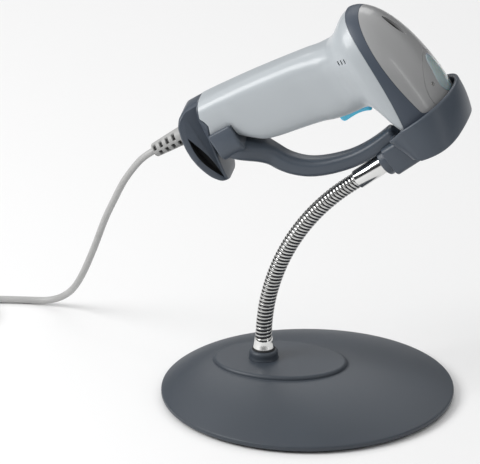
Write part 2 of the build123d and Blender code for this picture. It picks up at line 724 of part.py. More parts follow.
def handle_rest():
    x0, x1, z0, z1 = CRADLE
    room = CAP_HALF_W + CRADLE_GAP
    outer = block(x0, x1, -room - CRADLE_CHEEK, room + CRADLE_CHEEK, z0, z1)
    corners = outer.edges().filter_by(Axis.Z).sort_by(Axis.X)[-2:]
    outer = fillet(corners, 7.0)
    notch = block(x0 - 5, CRADLE_FLOOR_X, -room, room, z0 - 1, z1 + 1)
    notch = fillet(notch.edges().filter_by(Axis.Z).sort_by(Axis.X)[-2:], 5.0)
    return outer - notch


def holder_arm():
    corners = [Vector(x, 0, z) for x, z in ARM_PATH]
    path = FilletPolyline(*corners, radius=list(ARM_RADII))
    start = corners[0]
    profile = Plane(origin=start, z_dir=(corners[1] - start).normalized(), x_dir=(0, 1, 0)) * RectangleRounded(
        ARM_WIDE, ARM_THICK, ARM_CORNER)
    arm = sweep(profile, path=path)
    arm = BACK_TO_SCANNER * arm
    past_rest = block(CRADLE_FLOOR_X - 60, CRADLE_FLOOR_X + 1, -40, 40, CRADLE[2] - 30, CRADLE[3] + 8)
    past_lug = Pos(50 - LUG_L / 2, 0, 20) * Box(100, 80, 60)
    past_lug = BACK_TO_SCANNER * on_neck(past_lug, TOP_FERRULE_L)
    return arm - CRADLE_BODY - past_rest - past_lug - NOSE_RING - ring_form(RING_GAP, RING_WALL)


# ---------------------------------------------------------------- cable
def cord_points():
    exit_at = SCANNER * Pos(STRAIN_X, 0, STRAIN_END)
    start = Vector(*exit_at.position)
    down = (SCANNER * Pos(STRAIN_X, 0, STRAIN_END - CORD_FIRST)).position
    return [start, Vector(*down)] + [Vector(*p) for p in CORD_ROUTE]


def corner_radii(points):
    """The largest arc that fits each corner: 0.45 of its shorter run, over the tangent of half the turn."""
    radii = []
    for a, b, c in zip(points, points[1:], points[2:]):
        before, after = b - a, c - b
        turn = radians(before.get_angle(after))
        radii.append(0.45 * min(before.length, after.length) / tan(turn / 2))
    return radii


def coil_ring():
    x, y = COIL_AT
    ring = ring_piece(COIL_R + COIL_HALF, COIL_R - COIL_HALF, COIL_LOW, COIL_HIGH, x)
    return Pos(0, y, 0) * fillet(ring.edges(), 2.0)


def cord():
    points = cord_points()
    radii = corner_radii(points)
    path = FilletPolyline(*points, radius=radii)
    profile = Plane(origin=points[0], z_dir=(points[1] - points[0]).normalized()) * Circle(CORD_D / 2)
    tube = sweep(profile, path=path)
    print("cord radii", [round(r, 1) for r in radii])
    print("cord tube length", round(path.length, 1), "volume share", round(
        tube.volume / (path.length * pi * CORD_D ** 2 / 4), 4))
    return tube


def cord_tail():
    x, y = COIL_AT
    outer = COIL_R + COIL_HALF
    lane = outer - CORD_D / 2
    edge = x - (outer ** 2 - lane ** 2) ** 0.5
    return edge, y + lane, rod_x(CORD_D / 2, edge - TAIL_L, edge + 6, y + lane, TAIL_Z)


def cord_tie():
    x, y = COIL_AT
    r0, r1 = COIL_R - COIL_HALF - 0.1, COIL_R + COIL_HALF + 0.1
    z0, z1 = COIL_LOW - 0.05, COIL_HIGH + 0.05
    outer = block(x - r1 - TIE_T, x - r0 + TIE_T, y - TIE_W / 2, y + TIE_W / 2, z0 - TIE_T, z1 + TIE_T)
    return outer - block(x - r1 - 0.3, x - r0 + 0.6, y - TIE_W, y + TIE_W, z0, z1)


# ---------------------------------------------------------------- build
save("base_cover", base_cover())
save("bottom_plate", bottom_plate())
save("base_pad", rod(PAD_D / 2, 0, PAD_T))
save("base_screws", base_screws())
save("weight_plate", weight_plate())
save("neck_nut", neck_nut())
save("neck_washer", ring_piece(WASHER_R, STUD_R + FIT, WASHER_Z, WASHER_Z + WASHER_T, NECK_X))
save("neck_collar", neck_collar())
save("neck_seal", ring_piece(STUD_R + 2.2, STUD_R + FIT, COLLAR_TOP, SEAL_TOP, NECK_X))
save("lower_ferrule", lower_ferrule())
for number in range(1, NECK_PIECES + 1):
    save(f"neck_coil_{number}", neck_coil(number))
save("upper_ferrule", upper_ferrule())
save("ring_insert", ring_insert())
save("set_screw", set_screw())

NOSE_RING = nose_ring()
CRADLE_BODY = handle_rest()
save("nose_ring", NOSE_RING, SCANNER)
save("handle_rest", CRADLE_BODY, SCANNER)
save("holder_arm", holder_arm(), SCANNER)

save("top_cover", top_cover(), SCANNER)
save("head_bumper", head_bumper(), SCANNER)
save("nose_bezel", nose_bezel(), SCANNER)
save("scan_window", scan_window(), SCANNER)
save("status_window", status_window(), SCANNER)
SHELL_BODY = housing()
save("housing_left", housing_half(-1), SCANNER)
save("housing_right", housing_half(1), SCANNER)
save("housing_screws", body_screws(), SCANNER)
save("butt_cap", butt_cap(), SCANNER)
save("trigger", trigger(), SCANNER)
save("trigger_pin", rod_y(TRIGGER_PIN_R, -TRIGGER_PIN_L / 2, TRIGGER_PIN_L / 2, *TRIGGER_PIVOT), SCANNER)
save("trigger_spring", trigger_spring(), SCANNER)
save("trigger_switch", trigger_switch(), SCANNER)
save("main_board", main_board(), SCANNER)
save("board_screws", board_screws(), SCANNER)
save("engine_frame", engine_frame(), SCANNER)
save("imaging_lens", imaging_lens(), SCANNER)
save("sensor_board", sensor_board(), SCANNER)
save("light_bar", light_bar(), SCANNER)
save("beeper", beeper(), SCANNER)
save("status_light", status_light(), SCANNER)
save("cover_screws", cover_screws(), SCANNER)
save("cable_socket", cable_socket(), SCANNER)
save("cable_plug", cable_plug(), SCANNER)
save("harness", harness(), SCANNER)
save("strain_relief", strain_relief(), SCANNER)

COIL = coil_ring()
TAIL_START, PLUG_Y, TAIL = cord_tail()
PLUG_X = TAIL_START - TAIL_L
save("cord", cord() - COIL)
save("cord_coil", COIL)
save("cord_tail", TAIL - COIL)
save("cord_tie", cord_tie())
plug = block(PLUG_X - PLUG[0], PLUG_X, PLUG_Y - PLUG[1] / 2, PLUG_Y + PLUG[1] / 2, 0.2, 0.2 + PLUG[2])
plug = fillet(plug.edges().filter_by(Axis.X), 2.4)
save("usb_plug", plug)
shell_x = PLUG_X - PLUG[0]
shell = block(shell_x - SHELL[0], shell_x, PLUG_Y - SHELL[1] / 2, PLUG_Y + SHELL[1] / 2, TAIL_Z - SHELL[2] / 2,
              TAIL_Z + SHELL[2] / 2)
shell = shell - block(shell_x - SHELL[0] - 1, shell_x - 3, PLUG_Y - SHELL[1] / 2 + 0.5, PLUG_Y + SHELL[1] / 2 - 0.5,
                      TAIL_Z - 0.2, TAIL_Z + SHELL[2] / 2 - 0.5)
save("usb_shell", shell)
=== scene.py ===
import json
import bmesh
import bpy
import numpy as np
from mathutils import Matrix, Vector


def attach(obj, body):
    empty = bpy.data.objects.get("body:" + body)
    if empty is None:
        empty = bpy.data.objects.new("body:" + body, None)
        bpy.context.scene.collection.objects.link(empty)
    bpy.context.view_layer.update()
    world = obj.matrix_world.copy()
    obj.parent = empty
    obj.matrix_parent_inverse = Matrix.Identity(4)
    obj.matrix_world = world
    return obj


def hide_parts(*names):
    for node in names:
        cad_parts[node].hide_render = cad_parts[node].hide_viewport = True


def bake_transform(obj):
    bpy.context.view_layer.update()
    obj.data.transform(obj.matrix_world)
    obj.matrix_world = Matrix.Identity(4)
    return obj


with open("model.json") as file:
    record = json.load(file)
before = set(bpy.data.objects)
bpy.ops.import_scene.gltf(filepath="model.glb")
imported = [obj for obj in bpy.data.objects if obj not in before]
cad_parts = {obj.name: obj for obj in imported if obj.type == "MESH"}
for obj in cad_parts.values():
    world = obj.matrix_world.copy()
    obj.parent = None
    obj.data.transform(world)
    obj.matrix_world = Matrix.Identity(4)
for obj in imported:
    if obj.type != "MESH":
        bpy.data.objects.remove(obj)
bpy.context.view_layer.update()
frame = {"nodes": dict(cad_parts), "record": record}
MM = 0.001


# Studio: a pale floor, one broad soft light high on the left, a long strip on the right that draws bright
# lines down the chrome, and a sky that is bright overhead and dim near the horizon, as the walls of a studio
# are.
class Wire:
    """A shader socket on which + - * and > add Math nodes."""

    def __init__(self, tree, socket):
        self.tree, self.socket = tree, socket

    def math(self, operation, *values):
        node = self.tree.nodes.new("ShaderNodeMath")
        node.operation = operation
        for entry, value in zip(node.inputs, values):
            connect(self.tree, entry, value)
        return Wire(self.tree, node.outputs[0])

    def __add__(self, other):
        return self.math("ADD", self, other)

    def __sub__(self, other):
        return self.math("SUBTRACT", self, other)

    def __rsub__(self, other):
        return self.math("SUBTRACT", other, self)

    def __mul__(self, other):
        return self.math("MULTIPLY", self, other)

    def __gt__(self, other):
        return self.math("GREATER_THAN", self, other)

    __radd__, __rmul__ = __add__, __mul__


def connect(tree, entry, value):
    """Links a wire to a socket, or gives the socket a plain value."""
    if isinstance(value, Wire):
        tree.links.new(value.socket, entry)
    else:
        entry.default_value = value


class Finish:
    """One material's nodes round its Principled shader, with Object coordinates at hand."""

    def __init__(self, name, values):
        self.material = bpy.data.materials.new(name)
        self.material.use_nodes = True
        self.tree = self.material.node_tree
        self.shader = self.tree.nodes["Principled BSDF"]
        self.place = self.node("ShaderNodeTexCoord", out="Object")
        self.set(values)

    def node(self, kind, settings=None, sockets=None, out=0):
        made = self.tree.nodes.new(kind)
        for key, value in (settings or {}).items():
            setattr(made, key, value)
        for key, value in (sockets or {}).items():
            connect(self.tree, made.inputs[key], value)
        return Wire(self.tree, made.outputs[out])

    def set(self, values):
        for key, value in values.items():
            connect(self.tree, self.shader.inputs[key], value)

    def noise(self, scale, detail=2.0, rough=0.5):
        return self.node("ShaderNodeTexNoise", None,
                         {"Vector": self.place, "Scale": scale, "Detail": detail, "Roughness": rough})

    def blend(self, share, first, second):
        return self.node("ShaderNodeMix", {"data_type": "RGBA"}, {0: share, 6: first, 7: second}, out=2)

    def bump(self, height, strength, distance):
        return self.node("ShaderNodeBump", None,
                         {"Strength": strength, "Distance": distance, "Height": height})


def shade(colour, factor):
    return tuple(min(c * factor, 1.0) for c in colour[:3]) + (1.0,)


floor_finish = Finish("studio_floor", {"Base Color": (0.86, 0.86, 0.86, 1.0), "Roughness": 0.9})
bpy.ops.mesh.primitive_plane_add(size=8.0, location=(0, 0, -0.0002))
floor = bpy.context.object
floor.name = "studio_floor"
floor.data.materials.append(floor_finish.material)

world = bpy.data.worlds.new("studio")
bpy.context.scene.world = world
world.use_nodes = True
sky = world.node_tree
background = sky.nodes["Background"]
toward = sky.nodes.new("ShaderNodeTexCoord")
split = sky.nodes.new("ShaderNodeSeparateXYZ")
sky.links.new(toward.outputs["Generated"], split.inputs[0])
ramp = sky.nodes.new("ShaderNodeValToRGB")
ramp.color_ramp.elements[0].position = 0.28
ramp.color_ramp.elements[0].color = (0.05, 0.052, 0.055, 1.0)
ramp.color_ramp.elements[1].position = 0.50
ramp.color_ramp.elements[1].color = (0.92, 0.92, 0.92, 1.0)
sky.links.new(split.outputs["Z"], ramp.inputs[0])
sky.links.new(ramp.outputs[0], background.inputs["Color"])
background.inputs["Strength"].default_value = 0.85


def soft_light(name, place, aim, size, power):
    """A rectangular softbox at place, facing aim."""
    data = bpy.data.lights.new(name, "AREA")
    data.shape = "RECTANGLE"
    data.size, data.size_y = size
    data.energy = power
    lamp = bpy.data.objects.new(name, data)
    bpy.context.scene.collection.objects.link(lamp)
    lamp.location = place
    lamp.rotation_euler = (Vector(aim) - Vector(place)).to_track_quat("-Z", "Y").to_euler()


soft_light("key", (-1.1, -0.55, 1.0), (0.0, 0.0, 0.12), (0.8, 0.8), 16.0)
soft_light("strip", (1.1, -0.6, 0.5), (0.0, 0.0, 0.15), (0.12, 1.1), 1.2)
soft_light("back", (-0.3, 1.3, 1.0), (0.0, 0.0, 0.15), (1.2, 0.5), 3.0)

AIM = Vector((-0.0445, 0.0, 0.1115))
AZIMUTH, ELEVATION = np.radians(10.0), np.radians(23.2)
TOWARD_CAMERA = Vector((np.sin(AZIMUTH) * np.cos(ELEVATION), -np.cos(AZIMUTH) * np.cos(ELEVATION),
                        np.sin(ELEVATION)))
CAMERA_AWAY = 8.0
FRAME_WIDTH = 0.3103
camera_data = bpy.data.cameras.new("camera")
camera = bpy.data.objects.new("camera", camera_data)
bpy.context.scene.collection.objects.link(camera)
bpy.context.scene.camera = camera
camera_data.sensor_width = 36.0
camera_data.lens = 36.0 * CAMERA_AWAY / FRAME_WIDTH
camera_data.clip_end = 50.0
camera.location = AIM + TOWARD_CAMERA * CAMERA_AWAY
camera.rotation_euler = TOWARD_CAMERA.to_track_quat("Z", "Y").to_euler()
bpy.context.scene.view_settings.view_transform = "Standard"


# Cable: a 4.5 mm PVC-jacketed lead that leaves the butt through its strain relief, falls to the counter, and
# ends in a tied coil and a USB plug.
CORD_D = 4.5
ROUTE = (
    (-115.5, 4.2, 149.3), (-124.3, 14.5, 134.2), (-132.8, 29.0, 115.0), (-142.2, 47.0, 94.0),
    (-152.4, 66.5, 66.0), (-162.9, 84.5, 39.8), (-172.3, 99.3, 20.4), (-181.3, 108.8, 9.4),
    (-191.5, 113.2, 3.6), (-204.0, 114.4, 2.4), (-219.0, 113.2, 2.4), (-234.0, 110.9, 2.5),
    (-249.0, 110.6, 2.7),
)
CORD_FIRST = 9.0
COIL_X, COIL_Y = -262.0, 79.0
LANES = (31.75, 27.25, 22.75, 18.25, 18.25, 22.75, 27.25, 31.75)
LAYER_LOW, LAYER_HIGH = 2.85, 7.4
TAIL = ((-272.0, 110.75, 6.9), (-279.0, 110.75, 5.6), (-285.0, 110.75, 4.9), (-292.5, 110.75, 4.8))
POINTS_PER_TURN = 18
TILT = np.radians(57.0)
SCANNER_AT = np.array((24.4, 0.0, 271.0))
SCANNER_TURN = np.array(((np.cos(TILT), 0, np.sin(TILT)), (0, 1, 0), (-np.sin(TILT), 0, np.cos(TILT))))
STRAIN_X, STRAIN_END = 21.1, -162.0


def from_scanner(points):
    """Points of the scanner's own frame, in millimetres, carried to where it rests in its stand."""
    return np.asarray(points, float) @ SCANNER_TURN.T + SCANNER_AT


def coil_points():
    """Turns wound from the outside in and out again on top: each keeps to its lane, then eases into the next
    one."""
    points = []
    count = len(LANES)
    for step in range(count * POINTS_PER_TURN):
        turn, part = divmod(step / POINTS_PER_TURN, 1.0)
        turn = int(turn)
        begins = 0.78 if turn < count // 2 else 0.5
        ease = np.clip((part - begins) / 0.2, 0.0, 1.0)
        ease = ease * ease * (3 - 2 * ease)
        after = min(turn + 1, count - 1)
        radius = LANES[turn] + (LANES[after] - LANES[turn]) * ease
        levels = [LAYER_LOW if k < count // 2 else LAYER_HIGH for k in (turn, after)]
        angle = np.pi / 2 + 2 * np.pi * (step / POINTS_PER_TURN)
        points.append((COIL_X + radius * np.cos(angle), COIL_Y + radius * np.sin(angle),
                       levels[0] + (levels[1] - levels[0]) * ease))
    return points[1:]


def curve_object(name, points, radius):
    """A round tube on one NURBS spline, points in millimetres."""
    data = bpy.data.curves.new(name, "CURVE")
    data.dimensions = "3D"
    data.bevel_depth = radius * MM
    data.bevel_resolution = 5
    data.use_fill_caps = True
    spline = data.splines.new("NURBS")
    spline.points.add(len(points) - 1)
    for spot, place in zip(spline.points, points):
        spot.co = (place[0] * MM, place[1] * MM, place[2] * MM, 1.0)
    spline.order_u = 3
    spline.use_endpoint_u = True
    spline.resolution_u = 6
    made = bpy.data.objects.new(name, data)
    bpy.context.scene.collection.objects.link(made)
    return made


cable_finish = Finish("cable_jacket", {"Specular IOR Level": 0.45})
jacket_fine = cable_finish.noise(1400.0)
cable_finish.set({
    "Base Color": cable_finish.blend(cable_finish.noise(60.0), (0.36, 0.36, 0.355, 1.0),
                                     (0.45, 0.45, 0.445, 1.0)),
    "Roughness": jacket_fine * 0.16 + 0.36,
    "Normal": cable_finish.bump(jacket_fine, 0.2, 0.0002),
})

cord_exit = from_scanner((STRAIN_X, 0, STRAIN_END))
cord_first = from_scanner((STRAIN_X, 0, STRAIN_END - CORD_FIRST))
cord_line = [tuple(cord_exit), tuple(cord_first)] + list(ROUTE) + coil_points() + list(TAIL)
cord = curve_object("cord_lead", cord_line, CORD_D / 2)
cord.data.materials.append(cable_finish.material)
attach(cord, "scanner")
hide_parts("cord", "cord_coil", "cord_tail")


def add_mesh(name, points, faces, finish, flat_from=None):
    """A mesh object at the origin from points in millimetres; faces from flat_from on are shaded flat."""
    mesh = bpy.data.meshes.new(name)
    mesh.from_pydata((np.asarray(points) * MM).tolist(), [], faces)
    mesh.polygons.foreach_set("use_smooth", [flat_from is None or k < flat_from for k in range(len(faces))])
    for entry in (finish if isinstance(finish, (list, tuple)) else [finish]):
        mesh.materials.append(entry.material)
    made = bpy.data.objects.new(name, mesh)
    bpy.context.scene.collection.objects.link(made)
    return made


def grid_mesh(name, grid, finish, close_rows=False, close_columns=False, caps=False, inside=None):
    """A surface over an (n, m, 3) array of points. Rows or columns may close on themselves, end rows may be
    capped, and doubled points at poles are merged. An open skin is turned so that it faces away from the
    point inside."""
    rows, columns = grid.shape[:2]
    index = np.arange(rows * columns).reshape(rows, columns)
    if close_rows:
        index = np.vstack((index, index[:1]))
    if close_columns:
        index = np.hstack((index, index[:, :1]))
    quads = np.stack((index[:-1, :-1], index[1:, :-1], index[1:, 1:], index[:-1, 1:]), axis=-1).reshape(-1, 4)
    faces = quads.tolist()
    smooth = len(faces)
    if caps:
        faces += [index[0, :columns].tolist(), index[rows - 1, :columns].tolist()]
    made = add_mesh(name, grid.reshape(-1, 3), faces, finish, smooth)
    work = bmesh.new()
    work.from_mesh(made.data)
    bmesh.ops.remove_doubles(work, verts=work.verts, dist=0.00001)
    bmesh.ops.dissolve_degenerate(work, edges=work.edges, dist=0.000005)
    bmesh.ops.recalc_face_normals(work, faces=work.faces)
    if inside is not None:
        away = sum((f.calc_center_median() - Vector(inside) * MM).dot(f.normal) * f.calc_area()
                   for f in work.faces)
        if away < 0:
            bmesh.ops.reverse_faces(work, faces=work.faces)
    work.to_mesh(made.data)
    work.free()
    return made


def ring_outline(half_x, half_y, corner, steps=7):
    """A rounded rectangle as a loop of points: four quarter circles joined by straight sides."""
    loop = []
    for quarter in range(4):
        angle = np.radians(90 * quarter + np.linspace(0, 90, steps))
        sign_x, sign_y = ((1, 1), (-1, 1), (-1, -1), (1, -1))[quarter]
        loop.append(np.stack((sign_x * (half_x - corner) + corner * np.cos(angle),
                              sign_y * (half_y - corner) + corner * np.sin(angle)), axis=-1))
    return np.concatenate(loop)


def slab_grid(outline, low, high, edge, steps=5):
    """An outline carried from low to high with rounded edges: near each end the loop shrinks along its own
    normals."""
    ahead = np.roll(outline, -1, axis=0) - np.roll(outline, 1, axis=0)
    normal = np.stack((ahead[:, 1], -ahead[:, 0]), axis=-1)
    normal /= np.linalg.norm(normal, axis=1, keepdims=True)
    turn = np.radians(np.linspace(0, 90, steps))
    inset = np.concatenate((edge * (1 - np.sin(turn)), edge * (1 - np.sin(turn[::-1]))))
    height = np.concatenate((low + edge * (1 - np.cos(turn)), high - edge * (1 - np.cos(turn[::-1]))))
    area = np.sum(outline[:, 0] * np.roll(outline[:, 1], -1) - outline[:, 1] * np.roll(outline[:, 0], -1))
    outward = normal * np.sign(area)
    loops = outline[None, :, :] - outward[None, :, :] * inset[:, None, None]
    return np.concatenate((loops, np.broadcast_to(height[:, None, None], loops.shape[:2] + (1,))), axis=-1)


# The plug is a soft moulding that tapers to its lead; the shell is the CAD's own steel box.
PLUG_BACK, PLUG_FRONT = -291.2, -315.2
plug_along = np.array((-1.0, 0.6, 3.0, 8.0, 21.4, 23.2, 24.0))
plug_wide = np.array((3.2, 3.8, 6.0, 7.5, 7.5, 7.2, 6.2))
plug_tall = np.array((3.0, 3.3, 3.9, 4.2, 4.2, 4.0, 3.2))
plug_loops = [np.c_[np.full(28, PLUG_BACK - a), ring_outline(w, t, min(w, t) * 0.6) + (110.75, 4.8 - 0.2)]
              for a, w, t in zip(plug_along, plug_wide, plug_tall)]
plug = grid_mesh("usb_plug_body", np.array(plug_loops), cable_finish, close_columns=True, caps=True)
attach(plug, "scanner")
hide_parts("usb_plug")

# The tie is a narrow hook-and-loop strap round the coil's bundle, on the side away from the plug.
tie_finish = Finish("tie_weave", {"Roughness": 0.9})
tie_weave = tie_finish.node("ShaderNodeTexWave", {"bands_direction": "Y"},
                            {"Vector": tie_finish.place, "Scale": 260.0})
tie_finish.set({
    "Base Color": tie_finish.blend(tie_weave, (0.012, 0.012, 0.013, 1.0), (0.035, 0.035, 0.037, 1.0)),
    "Normal": tie_finish.bump(tie_weave, 0.5, 0.0003),
})
tie_outer = ring_outline(9.55, 5.0, 2.4) + (COIL_X - 25.0, 5.1)
tie_inner = ring_outline(9.1, 4.55, 2.0) + (COIL_X - 25.0, 5.1)
tie_loops = [np.c_[loop[:, 0], np.full(28, COIL_Y + y), loop[:, 1]]
             for loop, y in ((tie_outer, -4), (tie_outer, 4), (tie_inner, 4), (tie_inner, -4))]
tie = grid_mesh("coil_tie", np.array(tie_loops), tie_finish, close_rows=True, close_columns=True)
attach(tie, "scanner")
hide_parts("cord_tie")


# Weighted foot: a moulded cover with a fine spark-eroded texture. Its round rim rises in a dome to an oval
# platform that stands proud with a rounded shoulder; the steel weight is under it.
def textured_plastic(name, colour, grain=1100.0, rough=0.42, depth=0.35):
    """Moulded plastic: a fine leathery grain in the height, and a slow drift in colour and gloss."""
    finish = Finish(name, {"Specular IOR Level": 0.5})
    fine = finish.noise(grain, 3.0, 0.6)
    drift = finish.noise(22.0)
    finish.set({
        "Base Color": finish.blend(drift, shade(colour, 0.9), shade(colour, 1.1)),
        "Roughness": fine * 0.14 + drift * 0.06 + (rough - 0.1),
        "Normal": finish.bump(fine, depth, 0.00025),
    })
    return finish


foot_finish = textured_plastic("foot_plastic", (0.042, 0.052, 0.066), 1300.0, 0.46, 0.3)
BASE_R, RIM_LOW, RIM_HIGH = 95.0, 1.5, 5.0
PLATFORM = (43.6, 30.3, -18.0, 24.5, 2.6)
plat_long, plat_wide, plat_x, plat_top, plat_step = PLATFORM
t = np.linspace(0, 1, 40) ** 1.2
corner = np.radians(np.linspace(0, 90, 6))
shoulder = 2.1
rows = [(BASE_R - 6.0, BASE_R - 6.0, RIM_LOW, 0.0)]
rows += [(BASE_R - 1.6 * (1 - s), BASE_R - 1.6 * (1 - s), RIM_LOW + 1.6 * (1 - c), 0.0)
         for s, c in zip(np.sin(corner), np.cos(corner))]
rows += [(BASE_R, BASE_R, 4.4, 0.0), (BASE_R - 0.12, BASE_R - 0.12, 4.85, 0.0)]
dome_rise = plat_top - plat_step - RIM_HIGH
rows += [(BASE_R + (plat_long - BASE_R) * k - 0.4 * (1 - k) ** 20,
          BASE_R + (plat_wide - BASE_R) * k - 0.4 * (1 - k) ** 20,
          RIM_HIGH + dome_rise * (1 - (1 - k) ** 1.6) + 0.15 * (1 - k) ** 20, plat_x * k) for k in t]
foot_low = plat_top - plat_step
rows += [(plat_long - 0.02, plat_wide - 0.02, foot_low + 0.1, plat_x)]
rows += [(plat_long - shoulder * (1 - c), plat_wide - shoulder * (1 - c), plat_top - shoulder * (1 - s),
          plat_x)
         for s, c in zip(np.sin(corner), np.cos(corner))]
rows += [(plat_long * k, plat_wide * k, plat_top, plat_x) for k in (0.9, 0.6, 0.3, 0.0)]
rows = np.array(rows)
around = np.linspace(0, 2 * np.pi, 160, endpoint=False)
foot_grid = np.stack((rows[:, None, 3] + rows[:, None, 0] * np.cos(around), rows[:, None, 1] * np.sin(around),
                      np.broadcast_to(rows[:, None, 2], (len(rows), 160))), axis=-1)
foot = grid_mesh("foot_cover", foot_grid, foot_finish, close_columns=True)
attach(foot, "foot")
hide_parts("base_cover")


# Neck fittings: a moulded collar on the platform, a rubber seal, a turned chrome cone that the neck stands
# in, and a plain chrome ferrule at its top.
NECK_X, COLLAR_TOP, SEAL_TOP, NECK_Z = -28.9, 30.5, 31.9, 38.0
BEND_R, NECK_TURN, STRAIGHT, NECK_R = 140.0, np.radians(52.6), 8.0, 5.4
ARC = BEND_R * NECK_TURN
NECK_LENGTH = ARC + STRAIGHT
NECK_PIECES = 8


def lathe(name, profile, finish, place=(NECK_X, 0.0, 0.0), turn=None, steps=56):
    """A profile of (radius, height) turned round an upright axis, then leant by a 3x3 turn."""
    profile = np.array(profile, float)
    angle = np.linspace(0, 2 * np.pi, steps, endpoint=False)
    grid = np.stack((profile[:, None, 0] * np.cos(angle), profile[:, None, 0] * np.sin(angle),
                     np.broadcast_to(profile[:, None, 1], (len(profile), steps))), axis=-1)
    if turn is not None:
        grid = grid @ np.asarray(turn).T
    return grid_mesh(name, grid + np.asarray(place), finish, close_columns=True)


def round_over(radius, low, high, edge, steps=5):
    """The outside of a turned disc, from its axis below to its axis above, with both rims rounded."""
    turn = np.radians(np.linspace(0, 90, steps))
    below = [(radius - edge + edge * np.sin(a), low + edge - edge * np.cos(a)) for a in turn]
    above = [(radius - edge + edge * np.cos(a), high - edge + edge * np.sin(a)) for a in turn]
    return [(0.0, low)] + below + above + [(0.0, high)]


chrome_finish = Finish("chrome_plate", {"Metallic": 1.0, "Base Color": (0.74, 0.74, 0.73, 1.0)})
smudge = chrome_finish.noise(90.0, 4.0)
chrome_finish.set({"Roughness": smudge * 0.10 + 0.05})
rubber_finish = Finish("black_rubber", {"Roughness": 0.75})
rubber_fine = rubber_finish.noise(700.0)
rubber_finish.set({"Base Color": rubber_finish.blend(rubber_fine, (0.012, 0.012, 0.013, 1),
                                                     (0.03, 0.03, 0.032, 1)),
                   "Normal": rubber_finish.bump(rubber_fine, 0.3, 0.0002)})

collar = lathe("neck_collar_ring", [(5.1, 24.3), (9.9, 24.3), (9.7, 24.9), (9.4, 25.6)] +
               round_over(9.4, 25.6, COLLAR_TOP, 1.8)[4:-1] + [(5.1, COLLAR_TOP)], foot_finish)
seal = lathe("neck_seal_ring", round_over(7.6, COLLAR_TOP - 0.1, COLLAR_TOP + 0.8, 0.4), rubber_finish)
cone = lathe("lower_ferrule_cone", [(0.0, COLLAR_TOP + 0.7), (6.7, COLLAR_TOP + 0.7), (7.0, COLLAR_TOP + 1.0),
             (6.9, COLLAR_TOP + 1.6), (6.3, COLLAR_TOP + 4.0), (5.95, COLLAR_TOP + 6.2), (5.75, NECK_Z + 0.6),
             (5.5, NECK_Z + 0.9), (0.0, NECK_Z + 0.9)], chrome_finish)
for piece, node, slot in ((collar, "neck_collar", "foot_plastic"), (seal, "neck_seal", "black_rubber"),
                          (cone, "lower_ferrule", "chrome")):
    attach(piece, "foot")
    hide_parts(node)


# Gooseneck: a square wire wound close round a spring core, so its outside is one long rounded thread. It is
# drawn in nine lengths: the middle seven span the joints and are baked where they lie, and the two end
# lengths stay stiff, one with the foot and one with the holder.
def neck_at(s):
    """Centre and direction of the neck's line, s millimetres above the cone: an arc, then a straight."""
    turn = np.minimum(s, ARC) / BEND_R
    rest = np.maximum(s - ARC, 0.0)
    x = NECK_X + BEND_R * (1 - np.cos(turn)) + rest * np.sin(turn)
    z = NECK_Z + BEND_R * np.sin(turn) + rest * np.cos(turn)
    return np.stack((x, 0 * x, z), axis=-1), np.stack((np.sin(turn), 0 * turn, np.cos(turn)), axis=-1)


PITCH, THREAD = 2.5, 0.5


def coil_length(name, s0, s1):
    """Radius is the core's plus a rounded crest that follows the helix: |sin| of half the phase along and
    around."""
    along = np.arange(s0, s1 + 1e-6, (s1 - s0) / np.ceil((s1 - s0) / PITCH * 10))
    angle = np.linspace(0, 2 * np.pi, 40, endpoint=False)
    centre, aim = neck_at(along)
    phase = np.pi * (along[:, None] / PITCH) - angle[None, :] / 2
    crest = np.abs(np.sin(phase)) ** 0.55
    radius = NECK_R - THREAD + THREAD * crest
    side = np.stack((aim[:, 2], 0 * aim[:, 0], -aim[:, 0]), axis=-1)
    across = np.array((0.0, 1.0, 0.0))
    grid = centre[:, None, :] + radius[..., None] * (
        np.cos(angle)[None, :, None] * side[:, None, :] + np.sin(angle)[None, :, None] * across)
    made = grid_mesh(name, grid, coil_finish, close_columns=True, caps=True)
    # The crest share also drives the painted shade in the neck's grooves.
    tone = np.ones(len(made.data.vertices))
    tone[:crest.size] = crest.ravel()
    made.data.attributes.new("crest", "FLOAT", "POINT").data.foreach_set("value", tone)
    return made


# Painted shade: the plating's colour falls to near black in the groove between turns, away from each crest.
coil_finish = Finish("neck_chrome", {"Metallic": 1.0})
coil_crest = coil_finish.node("ShaderNodeAttribute", {"attribute_name": "crest"}, out="Fac")
groove_shade_share = coil_finish.node("ShaderNodeMapRange", {"interpolation_type": "SMOOTHSTEP"},
                              {"Value": coil_crest, "From Min": 0.45, "From Max": 0.97})
coil_finish.set({
    "Base Color": coil_finish.blend(groove_shade_share, (0.02, 0.02, 0.021, 1.0), (0.60, 0.60, 0.59, 1.0)),
    "Roughness": coil_finish.noise(400.0, 3.0) * 0.12 + 0.12,
})
middles = [NECK_LENGTH * (k - 0.5) / NECK_PIECES for k in range(1, NECK_PIECES + 1)]
foot_coil = coil_length("gooseneck_foot", 0.0, middles[0])
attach(foot_coil, "foot")
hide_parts("neck_coil_1")
for k in range(NECK_PIECES - 1):
    length = coil_length(f"gooseneck_{k + 1}", middles[k], middles[k + 1])
    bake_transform(length)
    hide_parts(f"neck_coil_{k + 2}")
top_coil = coil_length("gooseneck_top", middles[-1], NECK_LENGTH)
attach(top_coil, "holder")

neck_end, neck_aim = neck_at(np.array(NECK_LENGTH))
NECK_FRAME = np.stack(((neck_aim[2], 0.0, -neck_aim[0]), (0.0, 1.0, 0.0), neck_aim), axis=-1)
FERRULE_L = 22.0
ferrule = lathe("upper_ferrule_sleeve", round_over(6.5, 0.0, FERRULE_L + 0.5, 0.7), chrome_finish, neck_end,
                NECK_FRAME)
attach(ferrule, "holder")
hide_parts("upper_ferrule")


